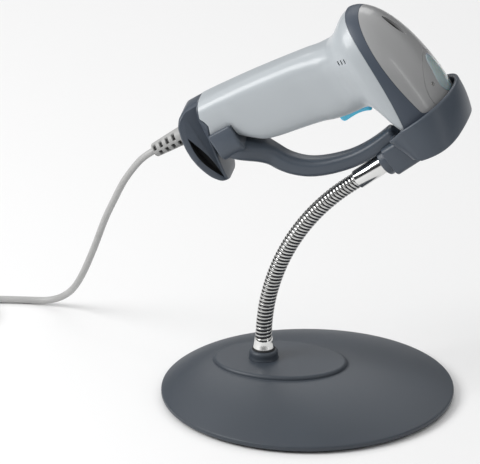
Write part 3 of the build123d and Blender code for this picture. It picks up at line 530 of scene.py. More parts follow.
# Scanner head: the crown is a run of half ovals whose width and height grow from the round tail to the nose.
WIDEST_X, HEAD_HALF_W, NOSE_HALF_W, HEAD_TOP, CREST_X = 57.0, 34.0, 33.0, 30.6, 72.0
NOSE_DROP, CROWN_POWER, PLAN_POWER, BEZEL_X, CHIN = 2.0, 2.2, 2.4, 80.0, 5.0
NOSE_X, NOSE_SLOPE = 98.5, 0.342


def head_half_width(x):
    """Half the head's width: a rounded tail up to its widest place, then a slow taper."""
    tail = HEAD_HALF_W * (1 - np.clip(1 - x / WIDEST_X, 0, 1) ** PLAN_POWER) ** (1 / PLAN_POWER)
    taper = HEAD_HALF_W + (NOSE_HALF_W - HEAD_HALF_W) * (x - WIDEST_X) / (NOSE_X - WIDEST_X)
    return np.where(x >= WIDEST_X, taper, tail)


def head_height(x):
    """The crown's height: a rounded rise from the tail, level after the crest, with a small drop to the
    nose."""
    rise = np.sqrt(np.maximum(1 - (1 - np.minimum(x / CREST_X, 1.0)) ** 1.9, 0))
    return HEAD_TOP * rise - NOSE_DROP * (np.maximum(x - CREST_X, 0) / (NOSE_X - CREST_X)) ** 2


def crown_z(x, y):
    """Height of the crown over a place in plan."""
    share = np.clip(np.abs(y) / np.maximum(head_half_width(x), 1e-6), 0, 1)
    return head_height(x) * (1 - share ** CROWN_POWER) ** (1 / CROWN_POWER)


def crown_y(x, z):
    """Half the crown's width at a height."""
    share = np.clip(z / np.maximum(head_height(x), 1e-6), 0, 1)
    return head_half_width(x) * (1 - share ** CROWN_POWER) ** (1 / CROWN_POWER)


def tail_x(z):
    """Where along the head the crown first reaches a height."""
    xs = np.linspace(0, CREST_X, 2000)
    return np.interp(z, head_height(xs), xs)


BAND_LOW, BAND_RISE, BAND_SWEEP = 8.5, 6.0, 18.0
BAND_TURN, BAND_CROSSED = 70.0, 79.6


def band_edge(x):
    """The rubber band's upper edge: a slow climb along the side, then a sweep up over the crown behind the
    nose."""
    sweep = np.maximum(x - BAND_TURN, 0) / (BAND_CROSSED - BAND_TURN)
    return BAND_LOW + BAND_RISE * (x / BAND_TURN) ** 2 + BAND_SWEEP * sweep ** 8


def band_foot(x):
    """The band's lower edge: level with the joint at the tail and the nose, and a few millimetres up between
    them."""
    return 3.9 * np.sin(np.pi * np.clip((x - 3.0) / 78.0, 0, 1)) ** 0.8


def skin(piece, thickness, bevel=0.35):
    """Gives an outer surface its wall and softens the wall's edges."""
    wall = piece.modifiers.new("wall", "SOLIDIFY")
    wall.thickness = thickness * MM
    wall.offset = -1.0
    if bevel:
        soft = piece.modifiers.new("edge", "BEVEL")
        soft.width = bevel * MM
        soft.segments = 3
        soft.limit_method = "ANGLE"
        soft.angle_limit = np.radians(50)


def settle(piece):
    """Applies the modifiers and keeps creases over 40 degrees sharp."""
    graph = bpy.context.evaluated_depsgraph_get()
    mesh = bpy.data.meshes.new_from_object(piece.evaluated_get(graph))
    piece.modifiers.clear()
    piece.data = mesh
    mesh.set_sharp_from_angle(angle=np.radians(40))


def cut(piece, cutters):
    """Takes the cutters out of a piece and discards them."""
    for cutter in cutters:
        modifier = piece.modifiers.new("cut", "BOOLEAN")
        modifier.operation = "DIFFERENCE"
        modifier.solver = "EXACT"
        modifier.object = cutter
    settle(piece)
    for cutter in cutters:
        bpy.data.objects.remove(cutter)


def gloss_plastic(name, colour, rough, coat):
    """Polished moulding: faint orange peel in the height and a thin clear gloss over a softer body."""
    finish = Finish(name, {"Specular IOR Level": 0.5, "Coat Weight": coat, "Coat Roughness": 0.12})
    peel = finish.noise(170.0, 2.0)
    fine = finish.noise(900.0, 2.0)
    drift = finish.noise(18.0)
    finish.set({
        "Base Color": finish.blend(drift, shade(colour, 0.94), shade(colour, 1.06)),
        "Roughness": fine * 0.08 + peel * 0.05 + (rough - 0.06),
        "Normal": finish.bump(peel, 0.06, 0.0006),
    })
    return finish


# Near-black finish, painted shade: the sheet under the sounder slot and the butt cap's hollows take it, and
# the cutters carry it.
dark_finish = Finish("hollow_shade_black", {"Base Color": (0.006, 0.006, 0.007, 1.0)})
dark_finish.set({"Roughness": dark_finish.noise(300.0) * 0.1 + 0.75})
cover_finish = gloss_plastic("cover_grey", (0.325, 0.327, 0.33), 0.30, 0.5)
band_finish = textured_plastic("band_rubber", (0.055, 0.070, 0.095), 1500.0, 0.46, 0.25)

# Top cover: one polished shell between the band's edges, with a lens-shaped sounder slot near its tail, a
# teardrop lamp window near the nose, a fine groove round the window, and two screw wells beside it.
q = np.sin(np.linspace(-np.pi / 2, np.pi / 2, 90))
r = 0.5 - 0.5 * np.cos(np.linspace(0, np.pi, 110))
cover_x0, cover_x1 = tail_x(BAND_LOW + 0.05), 79.35
cover_x = cover_x0 + 1e-4 + (cover_x1 - cover_x0) * r[:, None] * np.ones_like(q)[None, :]
cover_reach = crown_y(cover_x, np.minimum(band_edge(cover_x) + 0.12, head_height(cover_x) - 1e-4))
cover_y = cover_reach * q[None, :]
cover_grid = np.stack((cover_x, cover_y, crown_z(cover_x, cover_y)), axis=-1)
inside_head = from_scanner((50.0, 0.0, -30.0))
cover = grid_mesh("crown_cover", from_scanner(cover_grid), cover_finish, inside=inside_head)
skin(cover, 1.8, 0.3)
settle(cover)

WINDOW_TAIL, WINDOW_FRONT, WINDOW_R, WINDOW_TAIL_R = 57.5, 68.5, 6.2, 2.6
WINDOW_MIDDLE, WINDOW_FLANGE = 63.5, 4.2


def teardrop(tail, front, tail_r, front_r, steps=96):
    """A drop's plan: the hull of a small circle behind and a larger one in front, walked once round."""
    angle = np.linspace(0, 2 * np.pi, steps, endpoint=False)
    lean = np.pi - np.arccos((front_r - tail_r) / (front - tail))
    ahead = np.abs(np.angle(np.exp(1j * angle))) <= lean
    radius = np.where(ahead, front_r, tail_r)
    centre = np.where(ahead, front, tail)
    return np.stack((centre + radius * np.cos(angle), radius * np.sin(angle)), axis=-1)


def window_plan(grow):
    return teardrop(WINDOW_TAIL, WINDOW_FRONT, WINDOW_TAIL_R + grow, WINDOW_R + grow)


def upright_cutter(outline, low, high):
    """An outline in plan carried straight up through the crown, to be cut away."""
    grid = slab_grid(outline, low, high, 0.01, 2)
    return grid_mesh("cutter", from_scanner(grid), dark_finish, close_columns=True, caps=True)


slot_angle = np.linspace(0, 2 * np.pi, 40, endpoint=False)
slot_plan = np.stack((23.5 + 9.0 * np.cos(slot_angle), 3.0 * np.sign(np.sin(slot_angle)) *
                      np.abs(np.sin(slot_angle)) ** 1.3), axis=-1)
groove = teardrop(52.0, 72.0, 5.0, 23.0)
groove_spin = np.linspace(0, 2 * np.pi, 8, endpoint=False)
groove_out = groove - (WINDOW_MIDDLE, 0.0)
groove_out /= np.linalg.norm(groove_out, axis=1, keepdims=True)
groove_core = np.c_[groove, crown_z(groove[:, 0], groove[:, 1])]
groove_tube = groove_core[:, None, :] + 0.38 * (
    np.cos(groove_spin)[None, :, None] * np.c_[groove_out, np.zeros(len(groove))][:, None, :] +
    np.sin(groove_spin)[None, :, None] * np.array((0.0, 0.0, 1.0)))
cutters = [upright_cutter(slot_plan, 8, 40), upright_cutter(window_plan(0.25), 12, 50),
           grid_mesh("cutter", from_scanner(groove_tube), dark_finish, close_rows=True, close_columns=True)]
for side in (-1, 1):
    well = np.stack((66.0 + 1.5 * np.cos(slot_angle), side * 15.5 + 1.5 * np.sin(slot_angle)), axis=-1)
    cutters.append(upright_cutter(well, 18, 50))
cut(cover, cutters)
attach(cover, "scanner")
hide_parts("top_cover")

# Sounder slot backing: a black sheet under the slot, painted shade that makes the slot read dark.
slot_sheet_u, slot_sheet_v = np.meshgrid(np.linspace(13.0, 34.0, 12), np.linspace(-4.5, 4.5, 9), indexing="ij")
slot_shade_sheet = grid_mesh("sounder_slot_shade_sheet", from_scanner(np.stack((slot_sheet_u, slot_sheet_v, crown_z(slot_sheet_u, slot_sheet_v) - 3.4),
                                                         axis=-1)),
                  dark_finish, inside=inside_head)
skin(slot_shade_sheet, 0.4, 0)
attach(slot_shade_sheet, "scanner")

# Lamp window: a milky lens with a thin flange that laps the cover, crowned toward its middle.
lamp_finish = Finish("lamp_lens", {"Roughness": 0.12, "Coat Weight": 0.6, "Subsurface Weight": 0.4})
lamp_cloud = lamp_finish.noise(120.0)
lamp_finish.set({"Base Color": lamp_finish.blend(lamp_cloud, (0.40, 0.40, 0.40, 1.0),
                                                 (0.50, 0.50, 0.50, 1.0))})
drop = window_plan(WINDOW_FLANGE)
rings = np.array((1.0, 1.0, 0.98, 0.93, 0.8, 0.65, 0.4, 0.2, 0.0))
lifts = np.array((-0.5, 0.1, 0.3, 0.42, 0.6, 0.8, 0.95, 1.0, 1.0))
drop_xy = (WINDOW_MIDDLE, 0.0) + rings[:, None, None] * (drop - (WINDOW_MIDDLE, 0.0))[None, :, :]
drop_z = crown_z(drop_xy[..., 0], drop_xy[..., 1]) + lifts[:, None]
lamp = grid_mesh("lamp_window", from_scanner(np.concatenate((drop_xy, drop_z[..., None]), axis=-1)),
                 lamp_finish,
                 close_columns=True, caps=True)
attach(lamp, "scanner")
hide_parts("status_window")

# Head band: a soft overmould round the head at the joint of the two shells. It widens toward the nose.
q = np.linspace(-1, 1, 190)
q = np.sign(q) * (1 - (1 - np.abs(q)) ** 1.6)
up = np.linspace(0, 1, 16)
band_x = tail_x(BAND_LOW) + (80.4 - tail_x(BAND_LOW)) * q ** 2
band_top = np.minimum(band_edge(band_x), head_height(band_x) - 0.002)
band_z = band_foot(band_x) + up[:, None] * (band_top - band_foot(band_x))[None, :]
x0 = tail_x(np.minimum(band_z, BAND_LOW))
band_xx = x0 + (80.4 - x0) * q[None, :] ** 2
band_y = np.sign(q)[None, :] * crown_y(band_xx, band_z)
band = grid_mesh("head_band", from_scanner(np.stack((band_xx, band_y, band_z), axis=-1)), band_finish,
                 inside=inside_head)
skin(band, 2.0, 0.3)
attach(band, "scanner")
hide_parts("head_bumper")

# Nose bezel: the same rubber closed under the chin, cut on the slant that the window leans at.
spin = np.linspace(0, 2 * np.pi, 140, endpoint=False)


def signed_power(value, power):
    return np.sign(value) * np.abs(value) ** power


def nose_loop(x, angle, grow=0.0):
    """The nose's closed outline at x: the crown's half oval above and a flatter one under the chin."""
    above = np.sin(angle) >= 0
    power = np.where(above, CROWN_POWER, 3.4)
    half = head_half_width(x) + grow
    rise = np.where(above, head_height(x) + grow, CHIN + grow)
    return half * signed_power(np.cos(angle), 2 / power), rise * signed_power(np.sin(angle), 2 / power)


along = np.linspace(0, 1, 14)[:, None]
_, z_guess = nose_loop(np.full_like(spin, 95.0), spin)
nose_x = 80.0 + along * (NOSE_X - NOSE_SLOPE * z_guess - 80.0)[None, :]
nose_y, nose_z = nose_loop(nose_x, spin[None, :])
bezel = grid_mesh("nose_bezel_rim", from_scanner(np.stack((nose_x, nose_y, nose_z), axis=-1)), band_finish,
                  close_columns=True, inside=from_scanner((90.0, 0.0, 12.0)))
skin(bezel, 2.2, 0.5)
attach(bezel, "scanner")
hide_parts("nose_bezel")


# Housing: two light grey half shells, glossy and joined down the middle, that run from the head's underside
# into the grip. Slices at set heights give its back, front, half width and corner sharpness.
GRIP = np.array((
    (0.0, 0.6, 88.0, 34.0, 57.0, 6.0, 2.4),
    (-4.5, 1.7, 80.5, 33.2, 52.0, 4.6, 2.4),
    (-9.0, 4.4, 70.4, 30.8, 45.0, 3.6, 2.5),
    (-13.4, 7.6, 63.4, 27.4, 40.0, 3.2, 2.7),
    (-18.0, 10.6, 60.8, 24.0, 37.0, 3.2, 2.9),
    (-23.0, 12.2, 60.2, 21.3, 36.0, 3.3, 3.2),
    (-30.0, 11.9, 60.0, 19.0, 36.0, 3.5, 3.4),
    (-40.0, 10.4, 58.8, 17.8, 34.0, 3.6, 3.6),
    (-52.0, 8.9, 55.6, 17.0, 31.5, 3.6, 3.6),
    (-66.0, 7.4, 53.0, 17.0, 29.5, 3.6, 3.6),
    (-80.0, 6.1, 50.7, 17.0, 28.0, 3.6, 3.6),
    (-90.0, 5.4, 48.0, 17.0, 26.0, 3.6, 3.6),
    (-97.0, 5.0, 43.0, 17.0, 24.0, 3.6, 3.6),
    (-104.0, 4.6, 37.2, 16.8, 21.0, 3.6, 3.6),
    (-111.0, 4.3, 34.6, 16.8, 20.0, 3.6, 3.6),
    (-118.0, 4.1, 34.6, 17.0, 20.0, 3.6, 3.6),
    (-127.0, 4.1, 35.5, 17.0, 21.0, 3.6, 3.6),
))


def smooth_table(table, at):
    """Each column of a table passed through smoothly: cubic pieces whose slopes are limited so none
    overshoots."""
    order = np.argsort(table[:, 0])
    x, y = table[order, 0], table[order, 1:]
    step = np.diff(x)[:, None]
    slope = np.diff(y, axis=0) / step
    same = slope[:-1] * slope[1:] > 0
    middle = np.where(same, 2 * slope[:-1] * slope[1:] / np.where(same, slope[:-1] + slope[1:], 1), 0)
    tangent = np.vstack((slope[:1], middle, slope[-1:]))
    k = np.clip(np.searchsorted(x, at) - 1, 0, len(x) - 2)
    h = step[k, 0][:, None]
    u = ((at - x[k])[:, None]) / h
    return ((1 + 2 * u) * (1 - u) ** 2 * y[k] + u * (1 - u) ** 2 * h * tangent[k] +
            u * u * (3 - 2 * u) * y[k + 1] + u * u * (u - 1) * h * tangent[k + 1])


def grip_surface(levels, angle):
    """Closed slices, squarer in front and behind as the table says, one for each height."""
    back, front, half, centre, front_power, back_power = (v[:, None] for v in smooth_table(GRIP, levels).T)
    ahead = np.cos(angle)[None, :] >= 0
    power = np.where(ahead, front_power, back_power)
    reach = np.where(ahead, front - centre, centre - back)
    x = centre + reach * signed_power(np.cos(angle)[None, :], 2 / power)
    y = half * signed_power(np.sin(angle)[None, :], 2 / power)
    return np.stack((np.minimum(x, 80.0), y, np.broadcast_to(levels[:, None], x.shape)), axis=-1)


CAP_SIDE = np.array(((4.1, -115.9), (9.3, -117.5), (12.8, -118.7), (15.6, -117.2), (19.4, -116.0),
                     (26.5, -118.8), (33.4, -120.8), (41.6, -122.4), (56.0, -125.4), (59.6, -126.4),
                     (59.4, -128.0), (57.2, -130.6), (51.0, -134.3), (45.2, -136.4), (39.4, -137.9),
                     (33.0, -138.6), (27.0, -138.4), (20.8, -137.4), (12.0, -135.3), (7.2, -132.0),
                     (4.6, -127.0)))


def cap_line(x):
    """Height of the joint between the shells and the butt cap."""
    return np.interp(x, CAP_SIDE[:10, 0], CAP_SIDE[:10, 1])


levels = np.concatenate((-np.linspace(0.15, 30, 44), -np.linspace(31, 115.0, 66)))
body_grid = grip_surface(levels, spin)
last = body_grid[-1].copy()
for share in (0.34, 0.67, 1.0):
    foot_row = last.copy()
    foot_row[:, 2] = last[:, 2] + share * (cap_line(last[:, 0]) + 0.15 - last[:, 2])
    body_grid = np.vstack((body_grid, foot_row[None]))
lip = np.linspace(1.0, 0.25, 4)[:, None] * (band_foot(body_grid[0, :, 0]) + 0.1)[None, :]
lip_x = np.broadcast_to(body_grid[0, :, 0], lip.shape)
lip_y = body_grid[0, :, 1] * crown_y(lip_x, lip) / head_half_width(lip_x)
body_grid = np.vstack((np.stack((lip_x, lip_y, lip), axis=-1), body_grid))
shell_finish = gloss_plastic("shell_grey", (0.435, 0.467, 0.49), 0.36, 0.25)
shell = grid_mesh("grip_shell", from_scanner(body_grid), shell_finish, close_columns=True,
                  inside=from_scanner((30.0, 0.0, -60.0)))
skin(shell, 2.0, 0.3)
settle(shell)


def block_cutter(low, high):
    """A box between two corners of the scanner's frame, to be cut away."""
    low, high = np.array(low, float), np.array(high, float)
    centre, half = (low + high) / 2, (high - low) / 2
    grid = slab_grid(ring_outline(half[0], half[1], min(half[:2]) * 0.45, 3), -half[2], half[2], 0.02,
                     2) + centre
    return grid_mesh("cutter", from_scanner(grid), dark_finish, close_columns=True, caps=True)


cutters = [block_cutter((47.0, -8.35, -43.2), (75.0, 8.35, -17.6))]
cutters += [block_cutter((20.8, -60.0, -15.8 + 2.6 * k), (23.8, 60.0, -14.9 + 2.6 * k)) for k in range(3)]
for x, z, seat in ((32.0, -62.0, 12.5), (26.0, -97.0, 12.5), (38.0, -15.0, 20.0)):
    plan = np.stack((x + 2.5 * np.cos(slot_angle), z + 2.5 * np.sin(slot_angle)), axis=-1)
    tunnel = slab_grid(plan, seat, 45.0, 0.01, 2)[..., (0, 2, 1)]
    cutters.append(grid_mesh("cutter", from_scanner(tunnel), dark_finish, close_columns=True, caps=True))
cut(shell, cutters)
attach(shell, "scanner")
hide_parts("housing_left", "housing_right")

# Trigger: a glossy sky-blue moulding, hollowed in front for one finger and rounded on its long edges.
TRIGGER_SIDE = np.array(((65.0, -19.4), (63.2, -23.0), (62.2, -27.0), (62.0, -31.0), (62.3, -35.5),
                         (62.8, -39.8), (59.8, -41.6), (55.6, -40.4), (54.3, -35.0), (53.9, -27.0),
                         (50.9, -22.0), (50.0, -19.4), (51.0, -17.9), (53.5, -17.9), (58.0, -18.4)))


def closed_curve(points, steps):
    """A loop that rounds every corner of a polygon: quadratic arcs between the middles of its sides."""
    points = np.asarray(points, float)
    before = (np.roll(points, 1, axis=0) + points) / 2
    after = (points + np.roll(points, -1, axis=0)) / 2
    u = np.linspace(0, 1, steps, endpoint=False)[None, :, None]
    arcs = (1 - u) ** 2 * before[:, None] + 2 * u * (1 - u) * points[:, None] + u ** 2 * after[:, None]
    return arcs.reshape(-1, points.shape[1])


trigger_finish = gloss_plastic("trigger_blue", (0.06, 0.62, 0.93), 0.30, 0.4)
trigger_finish.set({"Subsurface Weight": 0.15})
trigger_grid = slab_grid(closed_curve(TRIGGER_SIDE, 5), -8.0, 8.0, 1.6)[..., (0, 2, 1)]
trigger = grid_mesh("trigger_lever", from_scanner(trigger_grid), trigger_finish, close_columns=True,
                    caps=True)
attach(trigger, "trigger")
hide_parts("trigger")

# Butt cap: a dark moulding that closes the grip and flares forward in a toe. A crescent hollow lightens each
# side.
cap_finish = textured_plastic("cap_plastic", (0.062, 0.076, 0.098), 1500.0, 0.34, 0.2)
cap_loop = np.concatenate([np.linspace(a, b, 8, endpoint=False)
                           for a, b in zip(CAP_SIDE, np.roll(CAP_SIDE, -1, axis=0))])
for _ in range(3):
    cap_loop = (np.roll(cap_loop, 1, axis=0) + 2 * cap_loop + np.roll(cap_loop, -1, axis=0)) / 4
cap_grid = slab_grid(cap_loop, -17.0, 17.0, 1.3, 6)
cap_x = np.clip(cap_grid[..., 0], 4.2, 59.0)
cap_grid[..., 0] = cap_x
plan_half = np.where(cap_x < 30, (1 - np.clip((30 - cap_x) / 25.9, 0, 1) ** 3.6) ** (1 / 3.6),
                     (1 - np.clip((cap_x - 30) / 29.2, 0, 1) ** 5) ** (1 / 5))
cap_grid[..., 2] *= np.maximum(plan_half, 0.25)
cap = grid_mesh("butt_cap_shoe", from_scanner(cap_grid[..., (0, 2, 1)]), cap_finish, close_columns=True,
                caps=True)
arc = np.linspace(0, 1, 24)
hollow_top = np.stack((20.5 + 35.5 * arc, -133.2 + 5.3 * arc + 1.9 * np.sin(np.pi * arc)), axis=-1)
hollow_low = np.stack((20.5 + 35.5 * arc, -133.2 + 5.3 * arc - 3.3 * np.sin(np.pi * arc)), axis=-1)[::-1]
hollow = np.concatenate((hollow_top, hollow_low[1:-1]))
cutters = []
for side in (-1, 1):
    ends = sorted((side * 9.0, side * 30.0))
    cutters.append(grid_mesh("cutter", from_scanner(slab_grid(hollow, ends[0], ends[1], 0.01, 2)[...,
                                                                                                 (0, 2, 1)]),
                             dark_finish, close_columns=True, caps=True))
# Painted shade: the near-black finish is added to the cap for the walls of its crescent hollows.
cap.data.materials.append(dark_finish.material)
cut(cap, cutters)
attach(cap, "scanner")
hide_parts("butt_cap")

# Strain relief: a soft tapered boot. Two rows of short slots face each side, each row half a step off its
# neighbour, so that the boot bends more toward its tip. The slots' colour is darkened: painted shade.
BOOT_ROOT, BOOT_R, BOOT_TIP_R = -138.0, 6.3, 4.7
SLOT_FROM, SLOT_STEP, SLOT_DEEP = -141.6, 5.0, 2.2
boot_low = np.linspace(BOOT_ROOT, STRAIN_END - 0.6, 150)
boot_angle = np.linspace(0, 2 * np.pi, 96, endpoint=False)
taper = np.clip((BOOT_ROOT - boot_low) / (BOOT_ROOT - STRAIN_END), 0, 1)
boot_r = BOOT_R + (BOOT_TIP_R - BOOT_R) * taper - 0.5 * (boot_low < STRAIN_END)
from_side = np.degrees(np.arccos(np.clip(np.abs(np.sin(boot_angle)), 0, 1))) * np.sign(np.cos(boot_angle))
row_shift = np.where(from_side > 0, 0.0, 0.5)
step = (SLOT_FROM - boot_low[:, None]) / SLOT_STEP - row_shift[None, :]
hollow_share = ((step > 0) & (step < 4) & (step % 1.0 < 0.46)
                & (np.abs(np.abs(from_side) - 33.0) < 24.0)[None, :])
radius = boot_r[:, None] - SLOT_DEEP * hollow_share
boot_grid = np.stack((STRAIN_X + radius * np.cos(boot_angle), radius * np.sin(boot_angle),
                      np.broadcast_to(boot_low[:, None], radius.shape)), axis=-1)
boot_finish = Finish("boot_rubber", {"Specular IOR Level": 0.45})
boot_slot_shade = boot_finish.node("ShaderNodeAttribute", {"attribute_name": "hollow"}, out="Fac")
boot_fine = boot_finish.noise(1400.0)
# Painted shade: near black wherever the hollow attribute marks a slot.
boot_finish.set({
    "Base Color": boot_finish.blend(boot_slot_shade, (0.37, 0.37, 0.365, 1.0), (0.02, 0.02, 0.02, 1.0)),
    "Roughness": boot_fine * 0.16 + 0.38,
    "Normal": boot_finish.bump(boot_fine, 0.2, 0.0002),
})
boot = grid_mesh("strain_relief_boot", from_scanner(boot_grid), boot_finish, close_columns=True, caps=True)
boot_slot_shade_layer = boot.data.attributes.new("hollow", "FLOAT", "POINT")
boot_slot_shade_layer.data.foreach_set("value", hollow_share.astype(float).ravel())
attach(boot, "scanner")
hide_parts("strain_relief")


# Nose ring: a slanted sleeve that the scanner's nose drops into. Its belly rises toward the front, and a lip
# inside its front edge stops the nose. A lug and a boss under it take the neck.
RING_GAP, RING_WALL, RING_LIP = 0.7, 3.0, 2.5
RING_BACK, RING_BACK_SLOPE, BELLY_POWER = 78.2, 0.06, 1.9
RING_FLARE, RING_DEEP, BELLY_CUT = 0.591, 19.2 + 0.591 * 88.5, 7.0
holder_finish = textured_plastic("holder_plastic", (0.062, 0.077, 0.099), 1300.0, 0.38, 0.22)


def ring_wall_profile():
    """Share of the way to the front, and depth below the outer skin, once round the wall's rounded
    section."""
    edge = np.radians(np.linspace(0, 90, 6))
    e = 0.06
    section = [(e - e * np.sin(a), 1.2 - 1.2 * np.cos(a)) for a in edge[::-1]][::-1]
    outer = [(k, 0.0) for k in np.linspace(0.1, 0.9, 12)]
    front = [(1 - e + e * np.sin(a), 1.2 - 1.2 * np.cos(a)) for a in edge]
    lip = [(1.0, 3.6), (1.0, 5.0), (0.985, 5.5), (0.90, 5.5), (0.86, 5.3), (0.855, 3.4), (0.84, 3.0)]
    inner = [(k, 3.0) for k in np.linspace(0.8, 0.1, 12)]
    back = [(0.04, 2.9), (0.01, 2.4), (0.0, 1.8)]
    return np.array(section[::-1] + outer + front + lip + inner + back)


def ring_front(angle):
    """How far forward the front edge stands at each place round the ring: least over the crown and under each
    cheek."""
    turn = np.degrees(np.arcsin(np.clip(np.sin(angle), -1, 1)))
    return np.interp(turn, FRONT_AT, FRONT_X)


def ring_swell(x):
    """How far the sleeve bulges over the crown, most near its back and drawn in toward its front edge."""
    return 2.0 - 2.6 * np.clip((x - 80.0) / 22.0, 0, 1) ** 2


FRONT_AT = np.linspace(-90, 90, 181)
FRONT_X = np.interp(FRONT_AT, (-90, -60, -40, -25, -12, 0, 12, 30, 50, 70, 90),
                    (104.5, 104.0, 101.5, 99.5, 100.5, 102.4, 103.8, 104.6, 103.6, 101.4, 100.4))
for _ in range(160):
    mirrored = np.pad(FRONT_X, 1, mode="reflect")
    FRONT_X = (mirrored[:-2] + 2 * mirrored[1:-1] + mirrored[2:]) / 4
profile = ring_wall_profile()
ring_spin = np.linspace(0, 2 * np.pi, 150, endpoint=False)
above = np.sin(ring_spin) >= 0
ring_power = np.where(above, CROWN_POWER, BELLY_POWER)
ring_x = np.full((len(profile), len(ring_spin)), 92.0)
for _ in range(6):
    grow = RING_GAP + RING_WALL - profile[:, 1:2] + ring_swell(ring_x) * np.maximum(np.sin(ring_spin), 0)
    belly = RING_DEEP - RING_FLARE * ring_x - profile[:, 1:2]
    rise = np.where(above[None, :], head_height(ring_x) + grow, belly)
    ring_z = rise * signed_power(np.sin(ring_spin), 2 / ring_power)[None, :]
    behind = (RING_BACK - RING_BACK_SLOPE * ring_z
              + BELLY_CUT * np.maximum(-np.sin(ring_spin), 0)[None, :] ** 1.3)
    ring_x = behind + profile[:, 0:1] * (ring_front(ring_spin)[None, :] - behind)
ring_y = (head_half_width(ring_x) + grow) * signed_power(np.cos(ring_spin), 2 / ring_power)[None, :]
ring = grid_mesh("nose_ring_cup", from_scanner(np.stack((ring_x, ring_y, ring_z), axis=-1)), holder_finish,
                 close_rows=True, close_columns=True)
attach(ring, "holder")
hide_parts("nose_ring")

lug_grid = slab_grid(ring_outline(10.0, 12.0, 3.5), 6.0, 25.0, 1.2)
lug_grid = lug_grid + (0.0, 0.0, FERRULE_L)
lug = grid_mesh("ring_lug", lug_grid @ NECK_FRAME.T + neck_end, holder_finish, close_columns=True, caps=True)
boss = lathe("ring_boss", round_over(9.5, FERRULE_L, FERRULE_L + 8.0, 1.1), holder_finish, neck_end,
             NECK_FRAME)
for piece in (lug, boss):
    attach(piece, "holder")


# Arm: one curved bar with a rounded section from the lug back to the handle rest.
ARM_PATH = np.array(((57.0, 190.0), (41.0, 173.5), (9.0, 160.8),
                     (-12.0, 161.8), (-28.0, 171.4), (-49.0, 175.4)))


def open_curve(points, steps):
    """A smooth line that starts and ends on its end points and leans toward each middle one."""
    middles = (points[:-1] + points[1:]) / 2
    corners = points[1:-1]
    starts = np.vstack((points[:1], middles[1:-1]))
    ends = np.vstack((middles[1:-1], points[-1:]))
    u = np.linspace(0, 1, steps, endpoint=False)[None, :, None]
    arcs = (1 - u) ** 2 * starts[:, None] + 2 * u * (1 - u) * corners[:, None] + u ** 2 * ends[:, None]
    return np.vstack((arcs.reshape(-1, points.shape[1]), points[-1:]))


arm_line = open_curve(ARM_PATH, 30)
arm_aim = np.gradient(arm_line, axis=0)
arm_aim /= np.linalg.norm(arm_aim, axis=1, keepdims=True)
arm_up = np.stack((arm_aim[:, 1], -arm_aim[:, 0]), axis=-1)
travel = np.concatenate(((0.0,), np.cumsum(np.linalg.norm(np.diff(arm_line, axis=0), axis=1))))
from_end = np.minimum(travel, travel[-1] - travel)
shrink = np.where(from_end < 2.0, 2.0 - np.sqrt(np.maximum(4.0 - (2.0 - from_end) ** 2, 0)), 0.0)
share = travel / travel[-1]
thick = np.interp(share, (0.0, 0.25, 0.5, 0.75, 1.0), (5.2, 5.4, 6.0, 6.6, 7.4))
flare = np.clip((share - 0.74) / 0.22, 0, 1)
wide = np.interp(share, (0.0, 0.3, 0.7), (6.6, 7.0, 7.8)) + 11.6 * flare * flare * (3 - 2 * flare)
section = ring_outline(1.0, 1.0, 0.72, 9)
scale = 1 - shrink / 7.2
arm_grid = np.stack((
    arm_line[:, None, 0] + arm_up[:, None, 0] * section[None, :, 0] * (thick * scale)[:, None],
    section[None, :, 1] * (wide * scale)[:, None],
    arm_line[:, None, 1] + arm_up[:, None, 1] * section[None, :, 0] * (thick * scale)[:, None]), axis=-1)
arm = grid_mesh("holder_arm_bar", arm_grid, holder_finish, close_columns=True, caps=True)
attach(arm, "holder")
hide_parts("holder_arm")

# Handle rest: a U that holds the grip's waist, open at the back so that the scanner lifts straight out.
REST_X0, REST_X1, REST_FLOOR, REST_ROOM, REST_CHEEK = 25.0, 45.6, 39.0, 17.7, 3.6
turn = np.radians(np.linspace(0, 90, 9))
outer_y = REST_ROOM + REST_CHEEK
u_loop = [(REST_X0, REST_ROOM + 0.8), (REST_X0, outer_y - 0.8), (REST_X0 + 0.8, outer_y)]
u_loop += [(REST_X1 - 7 + 7 * np.sin(a), outer_y - 7 + 7 * np.cos(a)) for a in turn]
u_loop += [(REST_X1 - 7 + 7 * np.cos(a), -outer_y + 7 - 7 * np.sin(a)) for a in turn]
u_loop += [(REST_X0 + 0.8, -outer_y), (REST_X0, -outer_y + 0.8), (REST_X0, -REST_ROOM - 0.8),
           (REST_X0 + 0.8, -REST_ROOM)]
u_loop += [(REST_FLOOR - 5 + 5 * np.sin(a), -REST_ROOM + 5 - 5 * np.cos(a)) for a in turn]
u_loop += [(REST_FLOOR - 5 + 5 * np.cos(a), REST_ROOM - 5 + 5 * np.sin(a)) for a in turn]
u_loop += [(REST_X0 + 0.8, REST_ROOM)]
rest_grid = slab_grid(np.array(u_loop), -119.5, -102.6, 1.6)
rest = grid_mesh("handle_rest_fork", from_scanner(rest_grid), holder_finish, close_columns=True, caps=True)
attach(rest, "holder")
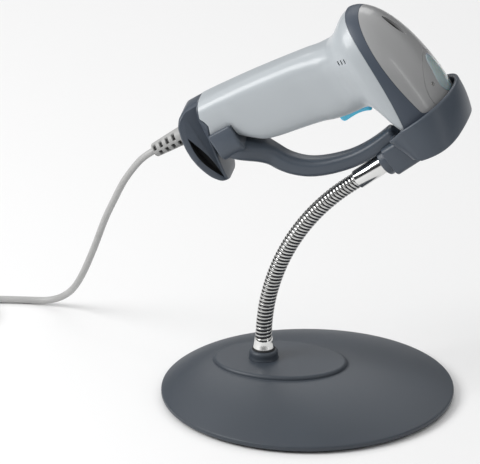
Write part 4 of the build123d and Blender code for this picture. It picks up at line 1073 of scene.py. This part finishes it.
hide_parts("handle_rest")


# Pieces that keep their CAD form: fixings, boards, the scan engine and the window. Each gets its own finish.
steel_finish = Finish("zinc_steel", {"Metallic": 1.0, "Base Color": (0.62, 0.62, 0.60, 1.0)})
steel_finish.set({"Roughness": steel_finish.noise(260.0, 4.0) * 0.2 + 0.22})
iron_finish = Finish("cast_plate", {"Metallic": 0.8, "Base Color": (0.16, 0.16, 0.165, 1.0)})
iron_grain = iron_finish.noise(420.0, 4.0)
iron_finish.set({"Roughness": iron_grain * 0.2 + 0.5, "Normal": iron_finish.bump(iron_grain, 0.4, 0.0004)})
brass_finish = Finish("turned_brass", {"Metallic": 1.0, "Base Color": (0.72, 0.55, 0.25, 1.0)})
brass_finish.set({"Roughness": brass_finish.noise(300.0) * 0.15 + 0.2})
board_finish = Finish("circuit_board", {"Roughness": 0.4})
copper = board_finish.noise(320.0, 1.0) > 0.55
board_finish.set({"Base Color": board_finish.blend(copper, (0.015, 0.13, 0.05, 1.0),
                                                   (0.04, 0.22, 0.09, 1.0))})
black_finish = textured_plastic("black_moulding", (0.014, 0.014, 0.015), 900.0, 0.5, 0.3)
pad_finish = textured_plastic("foot_pad", (0.02, 0.02, 0.021), 600.0, 0.8, 0.5)
glass_finish = Finish("scan_window_red", {"Base Color": (0.25, 0.02, 0.02, 1.0), "Roughness": 0.04,
                                          "Alpha": 0.55,
                                          "Coat Weight": 0.5})
glass_finish.set({"Roughness": glass_finish.noise(60.0) * 0.03 + 0.03})
FINISH_OF_SLOT = {
    "steel": steel_finish, "cast_weight": iron_finish, "brass": brass_finish, "board_green": board_finish,
    "black_plastic": black_finish, "pad_rubber": pad_finish, "window_dark": glass_finish,
    "lamp_white": lamp_finish,
    "cable_grey": cable_finish,
}
slot_of_node = {s["node"]: s["material_slot"] for s in frame["record"]["subparts"]}
for name, node in frame["nodes"].items():
    finish = FINISH_OF_SLOT.get(slot_of_node.get(name))
    if finish is not None and node.type == "MESH":
        for entry in node.material_slots:
            entry.material = finish.material
